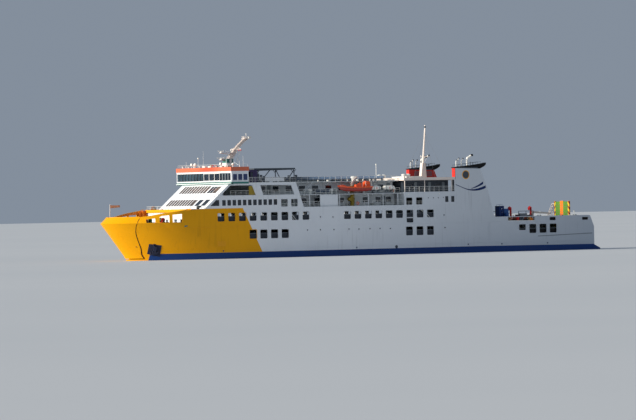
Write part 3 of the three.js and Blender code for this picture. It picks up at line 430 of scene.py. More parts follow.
def funnel_paint():
    """White, red on the inboard face and on the front above the shelter's roof, grey front below."""
    s = Shader("funnel_paint")
    x, y, z = s.axes()
    # The white darkens towards the stern: painted shade
    white = weathered_white_shaded_aft(s, x, 0.3, 0.25)
    inner = s.under(s.math("ABSOLUTE", y), FUNNEL_INNER_Y)
    front = s.over(x, FUNNEL_RED_X)
    high = s.over(z, FUNNEL_RED_Z)
    colour = s.mix(s.math("MAXIMUM", s.both(inner, high), s.both(front, high)), white, FUNNEL_RED)
    colour = s.mix(s.both(front, s.under(z, FUNNEL_RED_Z)), colour, linear(84, 90, 98))
    return s.painted(colour, 0.42)


LOOK = {
    "hull": hull_paint(),
    "visor": visor_paint(),
    "inside": inside_paint(),
    "funnel": funnel_paint(),
    "bridge": bridge_paint(),
    "roof": roof_paint(),
    "ramp": ramp_paint(),
    "floor": house_floor_paint(),
    "white": white_paint(),
    "fitting": paint("fitting_white", linear(236, 236, 232), 0.45, 0.4, 0.3, False),
    "wall": paint("shaded_wall", linear(214, 217, 220), 0.6, 0.3, 0.4),
    "yellow": paint("fitting_yellow", YELLOW_PAINT, 0.45, 0.3, 0.1, False),
    "bow_orange": paint("bow_orange", BOW_ORANGE_WITH_PAINTED_BOUNCE, 0.55, 0.7, 0.2, False),
    "navy": paint("fitting_navy", linear(20, 44, 96), 0.5, 0.25, 0.2, False, 0.2),
    "bolster": paint("anchor_bolster", linear(38, 44, 66), 0.55, 0.3, 0.3, False, 0.2),
    "blue": paint("fitting_blue", linear(36, 86, 150), 0.5, 0.2, 0.2, False),
    "teal": paint("trim_teal", linear(62, 128, 120), 0.45, 0.2, 0.15, False),
    "red": paint("fitting_red", linear(206, 34, 36), 0.42, 0.3, 0.15, False),
    "brown": paint("fitting_brown", linear(112, 58, 42), 0.55, 0.5, 0.3, False),
    "grey": paint("fitting_grey", linear(128, 136, 142), 0.5, 0.4, 0.3, False),
    "dark": paint("dark_grey", linear(70, 78, 88), 0.55, 0.2, 0.3, False),
    "guard": paint("guard_panel", linear(46, 52, 62), 0.55, 0.2, 0.3, False),
    # Dark purple of the officers' house and its window frame: painted shade
    "officers_painted_shade": paint("officers_house_painted_shade", linear(62, 52, 88), 0.5, 0.15, 0.2, True, 0.2),
    "black": paint("soot_black", linear(16, 17, 20), 0.6, 0.1, 0.2, False, 0.2),
    "mast": paint("mast_cream", linear(240, 226, 216), 0.42, 0.45, 0.3, False),
    "olive": paint("davit_olive", linear(166, 140, 44), 0.5, 0.5, 0.2, False),
    "green": paint("fitting_green", linear(70, 120, 60), 0.55, 0.4, 0.3, False),
    "deck": deck_plate_paint("deck_green", linear(64, 104, 88), linear(64, 104, 88)),
    "deck_white": deck_plate_paint("deck_green_white_edge", linear(64, 104, 88), WHITE_PAINT),
    "top_deck": deck_plate_paint("deck_grey_white_edge", linear(126, 136, 136), linear(236, 240, 240)),
    "deck_grey": deck_plate_paint("deck_grey", linear(138, 144, 146), linear(138, 144, 146)),
    "steel": metal("bare_steel", linear(150, 152, 154)),
    "bronze": metal("propeller_bronze", linear(200, 146, 74), 0.28, 0.12),
    "engine": paint("engine_grey", linear(150, 164, 160), 0.4, 0.2, 0.5, False),
    "antifouling": paint("antifouling_red", RED_LEAD, 0.7, 0.1, 0.5, False, 0.2),
    "glass": glass(colour=(12, 18, 27), bright=(32, 45, 60)),
    "blue_glass": glass("bridge_side_glass", (18, 36, 80), (40, 66, 130)),
    "front_glass": glass("front_glass", (78, 66, 60), (106, 94, 86), 0.3),
    "bridge_glass": glass("bridge_glass", (24, 38, 46), (64, 88, 102)),
    "lamp": plastic("lamp_lens", linear(246, 246, 236), 0.12),
    "boat": plastic("boat_orange", linear(176, 46, 34)),
    "boat_bright": plastic("boat_bright_orange", linear(255, 92, 28), 0.45),
    "canister": plastic("raft_canister", linear(252, 248, 238), 0.35),
    "seat": plastic("seat_blue", linear(64, 88, 118), 0.4),
    "ring": plastic("life_ring_orange", linear(244, 96, 30), 0.4),
    "rubber": plastic("fender_rubber", linear(34, 34, 36), 0.6),
    "rope": rope("mooring_rope", linear(196, 178, 132)),
    "rope_green": rope("mooring_rope_green", linear(60, 120, 80)),
    # The flag's colour is brighter than its dye: painted light for sun shining through the cloth
    "flag": cloth("flag_cloth", linear(255, 170, 120)),
}


SHARP_ANGLE = 32


# Planes that an outline can lie in: two numbers along the plane and a depth give a point
def side_plane(x, z, depth):
    return (x, depth, z)


def cross_plane(y, z, depth):
    return (depth, y, z)


def deck_plane(x, y, depth):
    return (x, y, depth)


RAKE_LENGTH = math.hypot(1, FRONT_RAKE)


def front_x(z):
    """Where the house's raked front stands at a height."""
    return HOUSE_FRONT_X - (z - HOUSE_FLOOR) * FRONT_RAKE


def raked_plane(y, z, depth):
    """On the house's raked front; the depth is measured out of the wall."""
    return (front_x(z) + depth / RAKE_LENGTH, y, z + depth * FRONT_RAKE / RAKE_LENGTH)


def square(a0, a1, b0, b1):
    """A rectangle."""
    return [(a0, b0), (a1, b0), (a1, b1), (a0, b1)]


def rounded(a0, a1, b0, b1, radius=14, steps=3):
    """A rectangle with rounded corners."""
    corners = ((a1, b1, -1, -1, 0), (a0, b1, 1, -1, 90), (a0, b0, 1, 1, 180), (a1, b0, -1, 1, 270))
    return [
        (a + inward_a * radius + radius * math.cos(angle), b + inward_b * radius + radius * math.sin(angle))
        for a, b, inward_a, inward_b, start in corners
        for angle in (math.radians(start + 90 * i / steps) for i in range(steps + 1))]


def smooth(points, steps=6):
    """A curve through the points."""
    points = [Vector(p) for p in points]
    ends = [points[0] * 2 - points[1], *points, points[-1] * 2 - points[-2]]
    curve = []
    for a, b, c, d in zip(ends, ends[1:], ends[2:], ends[3:]):
        for i in range(steps):
            t = i / steps
            curve.append(0.5 * (2 * b + (c - a) * t + (2 * a - 5 * b + 4 * c - d) * t ** 2
                                + (3 * b - 3 * c + d - a) * t ** 3))
    return [*curve, points[-1]]


def spread(start, end, count):
    """Evenly spaced numbers from start to end."""
    return [start + (end - start) * i / (count - 1) for i in range(count)]


def directions(centre, axis):
    """The centre as a vector, the axis, and two directions square to it."""
    axis = Vector(axis).normalized()
    side = axis.orthogonal().normalized()
    return Vector(centre), axis, side, axis.cross(side)


# Mesh building
class Kit:
    """Collects the closed skins of one piece. All sizes are millimetres."""

    def __init__(self):
        self.looks = []
        self.mesh = bmesh.new()

    def loft(self, rings, look, closed=False):
        """Closes a skin over rings of points. A closed one runs back to its first ring."""
        if look not in self.looks:
            self.looks.append(look)
        index = self.looks.index(look)
        rows = [[self.mesh.verts.new(Vector(p) * MM) for p in ring] for ring in rings]
        ends = () if closed else (rows[0], rows[-1])
        for a, b in zip(rows, [*rows[1:], rows[0]] if closed else rows[1:]):
            for i in range(len(a)):
                j = (i + 1) % len(a)
                self.mesh.faces.new((a[i], a[j], b[j], b[i])).material_index = index
        for ring in ends:
            self.mesh.faces.new(ring).material_index = index

    def slab(self, plane, outline, low, high, look, hole=None):
        """An outline pushed from one depth of its plane to another; with a hole it is a frame."""
        def ring(points, depth):
            return [plane(a, b, depth) for a, b in points]
        if hole:
            rings = [ring(outline, low), ring(outline, high), ring(hole, high), ring(hole, low)]
            self.loft(rings, look, closed=True)
        else:
            self.loft([ring(outline, low), ring(outline, high)], look)

    def box(self, x0, x1, y0, y1, z0, z1, look, radius=0):
        """A box, whose upright edges are rounded if a radius is given."""
        outline = rounded(x0, x1, y0, y1, radius) if radius else square(x0, x1, y0, y1)
        self.slab(deck_plane, outline, z0, z1, look)

    def boxes(self, rows):
        """Boxes from rows of x, y and z, each from and to, the look and a corner's radius."""
        for row in rows:
            self.box(*row)

    def across(self, outline, y0, y1, look, hole=None):
        """An outline in x and z, pulled across the ship."""
        self.slab(side_plane, outline, y0, y1, look, hole)

    def tube(self, points, radius, look, sides=6, end_radius=None):
        """A round bar along a line of points, thinner towards its end if asked."""
        points = [Vector(p) for p in points]
        rings = []
        last = None
        for i, point in enumerate(points):
            ahead = (points[min(i + 1, len(points) - 1)] - points[max(i - 1, 0)]).normalized()
            side = ahead.orthogonal() if last is None else last - ahead * last.dot(ahead)
            last = side.normalized()
            other = ahead.cross(last)
            share = i / (len(points) - 1)
            size = radius + ((radius if end_radius is None else end_radius) - radius) * share
            rings.append([
                point + (last * math.cos(a) + other * math.sin(a)) * size
                for a in (math.tau * k / sides for k in range(sides))])
        self.loft(rings, look)

    def post(self, x, y, low, high, radius, look, sides=6):
        """An upright bar."""
        self.tube([(x, y, low), (x, y, high)], radius, look, sides)

    def turned(self, profile, centre, axis, look, sides=16):
        """A profile of (distance along the axis, radius) turned round the axis."""
        centre, axis, side, other = directions(centre, axis)
        rings = [[
            centre + axis * d + (side * math.cos(a) + other * math.sin(a)) * max(r, 0.05)
            for a in (math.tau * k / sides for k in range(sides))] for d, r in profile]
        self.loft(rings, look)

    def ring(self, centre, axis, radius, thick, look, sides=24):
        """A torus, such as a life ring or a tyre."""
        centre, axis, side, other = directions(centre, axis)
        rings = []
        for a in (math.tau * k / sides for k in range(sides)):
            out = side * math.cos(a) + other * math.sin(a)
            rings.append([
                centre + out * (radius + thick * math.cos(b)) + axis * thick * math.sin(b)
                for b in (math.tau * j / 8 for j in range(8))])
        self.loft(rings, look, closed=True)

    def rail(self, points, height=100, pitch=120, bars=3, radius=3.0, look="fitting"):
        """A railing along a line of points: a handrail, thinner bars under it and posts."""
        for bar in range(1, bars + 1):
            lift = height * bar / bars
            thick = radius if bar == bars else radius * 0.6
            self.tube([(x, y, z + lift) for x, y, z in points], thick, look, 5)
        for a, b in zip(points, points[1:]):
            a, b = Vector(a), Vector(b)
            count = max(1, round((b - a).length / pitch))
            for i in range(count + 1):
                foot = a.lerp(b, i / count)
                self.tube([foot, foot + Vector((0, 0, height))], radius * 0.9, look, 5)

    def side_rail(self, start, end, y, z, height=100, pitch=120, bars=3):
        """A straight railing fore and aft."""
        self.rail([(start, y, z), (end, y, z)], height, pitch, bars)

    def ladder(self, foot, head, across, look="fitting", pitch=30):
        """Two stringers with rungs or treads between them; across is half its width as a vector."""
        foot, head, across = Vector(foot), Vector(head), Vector(across)
        for way in (-1, 1):
            self.tube([foot + across * way, head + across * way], 4, look, 5)
        count = max(2, round((head - foot).length / pitch))
        for i in range(1, count):
            middle = foot.lerp(head, i / count)
            self.tube([middle - across, middle + across], 2.5, look, 4)

    def window(self, plane, a0, a1, b0, b1, face, glass="glass", frame="white", lip=8, corner=12, back=6):
        """A pane set back in its opening, or on a closed wall, in a frame that stands a little proud."""
        outer = rounded(a0 - lip, a1 + lip, b0 - lip, b1 + lip, corner + lip)
        inner = rounded(a0 + 2, a1 - 2, b0 + 2, b1 - 2, corner)
        self.slab(plane, outer, face - 3, face + 2.5, frame, inner)
        if glass:
            pane = rounded(a0 - 1, a1 + 1, b0 - 1, b1 + 1, corner)
            self.slab(plane, pane, face - back - 2, face - back + 1.5, glass)

    def mirror(self):
        """Adds everything again on the other side of the ship."""
        everything = self.mesh.verts[:] + self.mesh.edges[:] + self.mesh.faces[:]
        for part in bmesh.ops.duplicate(self.mesh, geom=everything)["geom"]:
            if isinstance(part, bmesh.types.BMVert):
                part.co.y = -part.co.y

    def mesh_data(self, name):
        """The finished mesh, with its faces turned outward."""
        bmesh.ops.recalc_face_normals(self.mesh, faces=self.mesh.faces)
        data = bpy.data.meshes.new(name)
        self.mesh.to_mesh(data)
        self.mesh.free()
        return data

    def done(self, name, body=SHIP, slot="hull_white", stands_for=()):
        """Makes the piece, with its paint, the body that it rides on and the nodes that it replaces."""
        piece = bpy.data.objects.new(name, self.mesh_data(name))
        bpy.context.collection.objects.link(piece)
        return finish_piece(piece, self.looks, body, stands_for)


def finish_piece(piece, looks, body, stands_for=()):
    """Gives a piece its looks, smooth faces with sharp edges, its body and its nodes."""
    numbers = [0] * len(piece.data.polygons)
    piece.data.polygons.foreach_get("material_index", numbers)
    piece.data.materials.clear()
    for look in looks:
        piece.data.materials.append(LOOK[look])
    piece.data.polygons.foreach_set("material_index", numbers)
    piece.data.polygons.foreach_set("use_smooth", [True] * len(piece.data.polygons))
    piece.data.set_sharp_from_angle(angle=math.radians(SHARP_ANGLE))
    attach(piece, body)
    if stands_for:
        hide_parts(*stands_for)
    return piece


TRANSOM_X = -5342
# The hull's lines: z, bow x, length of entrance, half breadth, stern x, half breadth there, length of run
HULL_LINES = [
    (-410, 4520, 2500, 600, -2400, 130, 2500),
    (-395, 4530, 2480, 690, -2520, 160, 2450),
    (-350, 4580, 2400, 780, -3000, 240, 2300),
    (-280, 4660, 2300, 825, -3650, 340, 2200),
    (-200, 4740, 2150, 835, -4200, 460, 2100),
    (-120, 4810, 2050, 835, -4700, 600, 2000),
    (-50, 4860, 1960, 835, -5150, 720, 1900),
    (0, 4895, 1900, 835, -5508, 800, 1800),
    (26, 4911, 1872, 835, -5512, 803, 1650),
    (98, 4957, 1788, 835, TRANSOM_X, 835, 1200),
    (125, 4975, 1750, 835, TRANSOM_X, 835, 1200),
    (265, 5085, 1620, 835, TRANSOM_X, 835, 1200),
    (458, 5235, 1450, 835, TRANSOM_X, 835, 1200),
    (500, 5268, 1420, 835, -5324, 835, 1200),
    (KNUCKLE, 5425, 1240, 835, -5240, 835, 1200),
    (830, 5275, 1120, 835, -5185, 835, 1200),
    (950, 5090, 960, 835, -5130, 835, 1200),
]
NOSE_POWER = 1.65
RUN_POWER = 1.6
STEM_HALF = 14
# How far the stem draws back, and the entrance shortens, for each millimetre of inset
STEM_DRAW = 1.6
ENTRANCE_DRAW = 0.6
VISOR_SEAM = [
    (4700, 40), (4752, 107), (4796, 219), (4856, 323), (4916, 426), (4970, 539), (4998, 669), (4972, 743),
    (4916, 813), (4870, 900)]
RAIL_LINE = [(6000, 812), (4840, 816), (4770, 826), (4510, 873), (4270, 905), (4120, 925)]
RAIL_CUT = [
    *RAIL_LINE, (HOUSE_FRONT_X, HOUSE_FLOOR), (FUNNEL_FRONT_X, HOUSE_FLOOR), (FUNNEL_FRONT_X, AFT_RAIL),
    (-6000, AFT_RAIL), (-6000, 1500), (6000, 1500)]
RUN = 7
# Openings in the side: x of the first one's forward edge, how many, pitch, width, z low, z high
SIDE_PORTS = [
    (3413, 9, 237, 152, 702, 857),
    (573, 9, 240, 155, 700, 848),
    (2712, 4, 239, 160, 366, 533),
    (-849, 3, 245, 158, 360, 529),
    (-867, 1, 0, 155, 607, 702),
    (-3769, 3, 246, 166, 350, 524),
    (-3521, 1, 0, 160, 412, 524),
    (-4262, 1, 0, 150, 592, 654),
    (-5052, 1, 0, 150, 586, 642),
]
BOW_PORTS = [
    [(4850, 704), (4690, 704), (4684, 785), (4850, 768)],
    [(4626, 704), (4436, 704), (4431, 839), (4568, 827), (4614, 806)],
    [(4382, 704), (4190, 704), (4187, 859), (4377, 846)],
]
SIDE_RECESS = [(-3262, 591), (-3900, 583), (-3915, 760), (-3262, 760)]
HINGE_X, HINGE_Y, HINGE_Z = 4800, 240, 762
STERN_GATE_HALF = 285
STERN_RAMP_X = -5180
WELL = (-2350, -1050, -420, 420, -300, 300)
SHAFT_Y = 330
SHAFT_Z = -283
RUDDER_X = -4800


def hull_point(row, inset, t, s):
    """A point of one row: t runs along the entrance from the stem, s along the run to the transom."""
    z, bow, entrance, half, stern, stern_half, run = row
    breadth = half - inset
    if s is None:
        y = breadth * (1 - (1 - t) ** NOSE_POWER) ** (1 / NOSE_POWER)
        return (bow - STEM_DRAW * inset - (entrance - ENTRANCE_DRAW * inset) * t, max(y, STEM_HALF), z)
    return (stern + inset + run * (1 - s), breadth - (half - stern_half) * s ** RUN_POWER, z)


def hull_ring(row, inset, bow_steps, run_steps):
    """Points of one row from the stem to the transom, closer together at the stem."""
    side = [hull_point(row, inset, (i / bow_steps) ** 1.8, None) for i in range(bow_steps + 1)]
    return side + [hull_point(row, inset, None, i / run_steps) for i in range(run_steps + 1)]


def skin(x, z, inset=0):
    """Half breadth of the hull at x and z."""
    low, high = next(pair for pair in zip(HULL_LINES, HULL_LINES[1:]) if pair[0][0] <= z <= pair[1][0])
    share = (z - low[0]) / (high[0] - low[0])
    row = [a + (b - a) * share for a, b in zip(low, high)]
    t = (row[1] - STEM_DRAW * inset - x) / (row[2] - ENTRANCE_DRAW * inset)
    s = (row[4] + inset + row[6] - x) / row[6]
    if s > 0:
        return hull_point(row, inset, None, min(s, 1))[1]
    return hull_point(row, inset, min(max(t, 0), 1), None)[1]


def rail_height(x):
    """Height of the bulwark's top edge at x."""
    for (x1, z1), (x0, z0) in zip(RAIL_LINE, RAIL_LINE[1:]):
        if x0 <= x <= x1:
            return z0 + (z1 - z0) * (x - x0) / (x1 - x0)
    return HOUSE_FLOOR


def loose(kit, name="scratch", slots=0, number=0):
    """A scratch object for cutting and joining, not a piece of the ship."""
    made = bpy.data.objects.new(name, kit.mesh_data(name))
    bpy.context.collection.objects.link(made)
    for _ in range(slots):
        made.data.materials.append(None)
    made.data.polygons.foreach_set("material_index", [number] * len(made.data.polygons))
    return made


def hull_solid(inset, low, high, number=0, bow_steps=44, run_steps=8):
    """The hull as a closed solid between two heights, drawn in by the inset."""
    kit = Kit()
    rings = []
    for row in HULL_LINES:
        if low <= row[0] <= high:
            side = hull_ring(row, inset, bow_steps, run_steps)
            rings.append(side + [(x, -y, z) for x, y, z in reversed(side)])
    kit.loft(rings, "hull")
    return loose(kit, "hull_solid", 2, number)


def combine(base, other, how):
    """Cuts, joins or intersects base with other, whose faces keep their own material number."""
    cut = base.modifiers.new("cut", "BOOLEAN")
    cut.operation, cut.object, cut.solver, cut.material_mode = how, other, "MANIFOLD", "INDEX"
    result = bpy.data.meshes.new_from_object(base.evaluated_get(bpy.context.evaluated_depsgraph_get()))
    base.modifiers.clear()
    base.data = result
    bpy.data.objects.remove(other)
    return base


def solid(parts, number=0):
    """Several parts as one scratch solid, each a Kit method's name and its numbers."""
    kit = Kit()
    for kind, *rest in parts:
        getattr(kit, kind)(*rest, "hull")
    return loose(kit, "solid", 2, number)


def copy_of(thing):
    """Another object with a mesh of its own."""
    twin = thing.copy()
    twin.data = thing.data.copy()
    bpy.context.collection.objects.link(twin)
    return twin


PORT_OUTLINES = [
    rounded(x - i * pitch - width, x - i * pitch, low, high, 16)
    for x, count, pitch, width, low, high in SIDE_PORTS for i in range(count)]


# What belongs to the visor, and what is cut out of the hull for it, drawn back from the seam
VISOR_ZONE = [*VISOR_SEAM, (4870, 1100), (6000, 1100), (6000, 40)]
HULL_ZONE = [
    (4700 - 3 * RUN, 40 - 2 * RUN), *[(x - RUN, z) for x, z in VISOR_SEAM[1:]], (4870 - RUN, 1100),
    (6000, 1100), (6000, 40 - 2 * RUN)]
HINGE_ARM = [(4774, 735), (4820, 735), (5060, 695), (5180, 695), (4814, 790), (4774, 790)]
SHAFT_STRUT = [(-4380, SHAFT_Z), (-4480, SHAFT_Z), (-4500, -120), (-4380, -120)]
SHAFT_BOSS = [(-2600, -380), (-3500, -300), (-3700, -262), (-3000, -262)]


def cut_away(base, groups):
    """Cuts one group of parts after another out of the base."""
    for group in groups:
        combine(base, solid(group), "DIFFERENCE")


def hull_sides(sides):
    """The sides above the vehicle deck, with their openings."""
    cut_away(sides, (
        [("box", -6000, 6000, -1200, 1200, -600, CAR_DECK + 0.3)],
        [("across", RAIL_CUT, -1200, 1200)],
        [("across", HULL_ZONE, -1210, 1210)],
        [("across", SIDE_RECESS, -1200, 1200)],
        [("across", outline, -1200, 1200) for outline in PORT_OUTLINES],
        [("across", outline, -1200, 1200) for outline in BOW_PORTS],
        [("box", -5600, -5150, -STERN_GATE_HALF, STERN_GATE_HALF, 100, 1000)],
        [("box", 4700, 5600, -200, 200, 100, 1000)]))
    sides.name = "hull_sides"
    finish_piece(sides, ["hull", "inside"], SHIP, ("port_hull_side", "starboard_hull_side"))


def visor_shell(visor):
    """The visor with its two floors and its bored hinge arms."""
    floors = combine(hull_solid(0, -500, 1000), solid([
        ("box", 4000, 6000, -900, 900, 0, 70), ("box", 4000, 6000, -900, 900, KNUCKLE - 12, KNUCKLE)], 1),
        "INTERSECT")
    combine(visor, floors, "UNION")
    combine(visor, solid([("across", VISOR_ZONE, -1200, 1200)], 1), "INTERSECT")
    combine(visor, solid([("across", RAIL_CUT, -1210, 1210)]), "DIFFERENCE")
    hinges = (-HINGE_Y, HINGE_Y)
    combine(visor, solid([("across", HINGE_ARM, y - 12, y + 12) for y in hinges]), "UNION")
    bores = [("turned", [(-40, 9.3), (40, 9.3)], (HINGE_X, y, HINGE_Z), PORT) for y in hinges]
    combine(visor, solid(bores), "DIFFERENCE")
    visor.name = "visor_shell"
    finish_piece(visor, ["visor", "inside"], "visor", ("bow_visor",))


def hull_bottom():
    """The hull below the vehicle deck, with its engine well, stern tubes, struts and rudder headboxes."""
    bottom = hull_solid(0, -500, 1000)
    cut_away(bottom, (
        [("box", -6000, 6000, -1200, 1200, CAR_DECK, 1200)],
        [("across", HULL_ZONE, -1200, 1200)],
        [("box", *WELL)]))
    for y in (-SHAFT_Y, SHAFT_Y):
        # Each fitting is joined on by itself, because they touch one another
        for part in (
                ("turned", [(0, 24), (1020, 24)], (-4520, y, SHAFT_Z), AHEAD),
                ("across", SHAFT_STRUT, y - 7, y + 7),
                ("across", SHAFT_BOSS, y - 16, y + 16),
                ("box", -4860, -4740, y - 22, y + 22, -128, -30)):
            combine(bottom, solid([part]), "UNION")
        cut_away(bottom, (
            [("turned", [(-4560, 12.6), (-4440, 12.6)], (0, y, SHAFT_Z), AHEAD)],
            [("turned", [(-300, 17), (-60, 17)], (RUDDER_X, y, 0), UP)]))
    bottom.name = "hull_bottom"
    finish_piece(bottom, ["hull", "hull"], SHIP, ("lower_hull",))


def make_hull():
    """The hull's sides, the bow visor and the bottom; the first two are cut from one shell."""
    shell = combine(hull_solid(0, -500, 1000), hull_solid(WALL, 50, 1000, 1), "DIFFERENCE")
    hull_sides(copy_of(shell))
    visor_shell(shell)
    hull_bottom()


# Hull details
SCUTTLES = [
    (1112, 748), (828, 743), (1412, 506), (1118, 506), (811, 504), (468, 507), (239, 503), (-14, 504),
    (-245, 504), (-488, 499), (-1742, 737), (-1760, 495)]
# x aft, x forward, z low, z high, look
HULL_PLATES = [
    (1225, 1300, 665, 770, "white"),
    (615, 690, 665, 770, "white"),
    (-1646, -1578, 661, 769, "white"),
    (4067, 4142, 612, 651, "teal"),
    (3240, 3420, 240, 330, "yellow"),
    (-2700, -2480, 230, 330, "white"),
]
# Panels inside the openings: x aft, x forward, z low, z high, look
GUARD_PANELS = [
    (1330, 3440, 612, 796, "guard"),
    (-1540, 590, 612, 788, "guard"),
    (1840, 2730, 300, 466, "guard"),
    (-1500, -830, 300, 462, "guard"),
    (-4440, -3500, 300, 440, "black"),
    (-4440, -4240, 586, 668, "black"),
    (-5222, -5030, 584, 652, "black"),
]
# Start, end and height of the welded lines along the side
WELD_LINES = [(4600, 2900, 598), (1500, -3100, 589), (1500, -4900, 187)]
OVERBOARD_PIPES = [(3300, 150), (300, 150), (-2300, 160), (-3100, 152), (-4200, 150)]
SEA_CHESTS = [(-900, -200), (-2000, -180), (900, -240), (-3200, -150)]
RUBBING_X, RUBBING_Z, RUBBING_RISE = -3970, 287, 0.0273
RUNG_ENDS = (-2840, -2780)
BILGE_KEEL_Z = -352
TUNNEL_Z, TUNNEL_RADIUS = -210, 76
ZINC_Z = -120


def hull_frame(kit, outline, inner, proud=3.5, look="white"):
    """A flat bar bent round an opening in the hull's side, following the plating."""
    edges = ((outline, -4), (outline, proud), (inner, proud), (inner, -4))
    rings = [[(x, skin(x, z) + out, z) for x, z in points] for points, out in edges]
    kit.loft(rings, look, closed=True)


def side_look(x, z):
    """Yellow forward of the slanted edge of the bow's paint, white aft of it."""
    x0, z0, x1, z1 = YELLOW_EDGE
    return "yellow" if x / 1000 > x0 + (x1 - x0) / (z1 - z0) * (z / 1000 - z0) else "white"


def hull_trim():
    """Rims of the openings, scuttles, plates, the rubbing line and the side's small fittings."""
    kit = Kit()
    for x, count, pitch, width, low, high in SIDE_PORTS:
        for fore in (x - i * pitch for i in range(count)):
            aft = fore - width
            look = side_look((aft + fore) / 2, (low + high) / 2)
            outline = rounded(aft - 9, fore + 9, low - 9, high + 9, 24)
            hull_frame(kit, outline, rounded(aft, fore, low, high, 16), 3, look)
    for x, z in SCUTTLES:
        centre = (x, skin(x, z), z)
        kit.turned([(-4, 19), (4, 19), (5, 15), (1, 13), (-4, 13)], centre, PORT, "white")
        kit.turned([(-6, 14.5), (1.2, 14.5)], centre, PORT, "glass")
    for aft, fore, low, high, look in HULL_PLATES:
        kit.across(rounded(aft, fore, low, high, 8), skin(aft, low) - 4, skin(fore, low) + 4, look)
        for z in spread(low + 12, high - 12, 6):
            kit.box(aft + 8, fore - 8, skin(fore, z), skin(fore, z) + 6, z - 2, z + 2, look)
    kit.turned([(-6, 30), (6, 30), (12, 18)], (-618, skin(-618, 147), 147), PORT, "dark")
    # The rubbing line is grey, darker than the hull: painted shadow under the strake
    line = [(x, RUBBING_Z - (x - RUBBING_X) * RUBBING_RISE) for x in spread(RUBBING_X, -5290, 12)]
    kit.tube([(x, skin(x, z) + 2, z) for x, z in line], 6, "grey", 8)
    for start, end, z in WELD_LINES:
        kit.tube([(x, skin(x, z) + 0.5, z) for x in spread(start, end, 14)], 2.6, side_look(start, z), 5)
    for x, z in OVERBOARD_PIPES:
        kit.turned([(-3, 13), (8, 13), (8, 9), (0, 9)], (x, skin(x, z), z), PORT, "navy")
    for z in spread(250, 560, 8):
        for x in RUNG_ENDS:
            kit.box(x - 3, x + 3, skin(x, z) - 2, skin(x, z) + 8, z - 3, z + 3, "white")
        kit.tube([(x, skin(x, z) + 7, z) for x in RUNG_ENDS], 3, "white", 5)
    kit.mirror()
    kit.done("hull_trim")


def underwater_trim():
    """Bilge keels, thruster tunnels with their bars, sea chests and zinc blocks."""
    kit = Kit()
    rings = []
    for x in spread(-1500, 1500, 9):
        y = skin(x, BILGE_KEEL_Z)
        corners = ((-6, 8), (26, -22), (26, -27), (-6, -4))
        rings.append([(x, y + out, BILGE_KEEL_Z + up) for out, up in corners])
    kit.loft(rings, "antifouling")
    for x in (3600, 3880):
        y = skin(x, TUNNEL_Z)
        mouth = (x, y, TUNNEL_Z)
        kit.turned([(-14, 82), (6, 82), (8, 76), (-10, 76)], mouth, (0.25, 1, 0), "antifouling", 28)
        kit.turned([(-8, 78), (-2, 78)], mouth, (0.25, 1, 0), "black", 28)
        for up in spread(-56, 56, 6):
            span = math.sqrt(TUNNEL_RADIUS ** 2 - up ** 2)
            bar = [(x + way * span, y - way * span * 0.25 + 4, TUNNEL_Z + up) for way in (-1, 1)]
            kit.tube(bar, 3, "antifouling")
    for x, z in SEA_CHESTS:
        y = skin(x, z)
        kit.box(x - 45, x + 45, y - 6, y + 3, z - 26, z + 26, "black")
        for bar in spread(x - 38, x + 38, 8):
            kit.post(bar, y + 3, z - 25, z + 25, 2.5, "antifouling", 5)
    for x in (-1300, -600, 200, 1000, -2600, 1900):
        y = skin(x, ZINC_Z)
        kit.box(x - 30, x + 30, y - 4, y + 6, ZINC_Z - 12, ZINC_Z + 6, "steel")
    kit.mirror()
    kit.box(-3900, 3800, -11, 11, -409.5, -400, "antifouling")
    kit.done("underwater_trim", slot="antifouling")


def clear_of(x, openings, margin):
    """True where no opening's outline reaches within the margin of x."""
    return not any(min(p[0] for p in o) - margin < x < max(p[0] for p in o) + margin for o in openings)


def car_decks():
    """Web frames, deck-head beams, guard panels and stairs that show through the vehicle decks' openings."""
    kit = Kit()
    for x in range(-4900, 3600, 120):
        for low, high in ((CAR_DECK_TOP, 570), (612, 930)):
            clear = clear_of(x, [port for port in PORT_OUTLINES if low < port[0][1] < high], 12)
            if clear and (high < 900 or -2900 < x < -2150 or x > FUNNEL_FRONT_X):
                y = min(skin(x, low), skin(x, high)) - WALL
                kit.box(x - 4, x + 4, y - 15, y + 1, low, high, "white")
    for aft, fore, low, high, look in GUARD_PANELS:
        along = spread(aft, fore, 5)
        corners = ((low, 13), (high, 13), (high, 17), (low, 17))
        kit.loft([[(x, skin(x, z, WALL) - deep, z) for z, deep in corners] for x in along], look)
        kit.tube([(x, skin(x, high, WALL) - 14, high) for x in along], 4, "grey", 6)
    for x, z in ((1867, 612), (-1196, 612), (1875, 300)):
        kit.ladder((x - 250, 812, z), (x, 812, z + 270), (0, 9, 0), "fitting", 28)
        kit.tube([(x - 250, 814, z + 60), (x - 30, 814, z + 300)], 5, "fitting", 6)
    kit.mirror()
    for x in spread(-4700, 3400, 34):
        under = 592 if x > -2950 else 572
        half = 740 if x < -4200 else 815
        kit.box(x - 5, x + 5, -half, half, under - 6.5, under + 0.2, "white")
        if x > FUNNEL_FRONT_X:
            kit.box(x - 5, x + 5, -815, 815, 931.5, 938.2, "white")
    kit.done("vehicle_deck_frames")


# Bow: visor, forecastle and the platform below the house
LIP_X = 3976
CHAIN_Y = 180
FLAG_X = 5249
MOORING_BOLLARDS = [(4420, 610, 34), (4090, 690, 34), (4690, 430, 26)]


def bulwark_cap(stations):
    """Points along the bulwark's top edge, a little inside the plating."""
    return [(x, skin(x, rail_height(x)) - 6, rail_height(x) + 1) for x in stations]


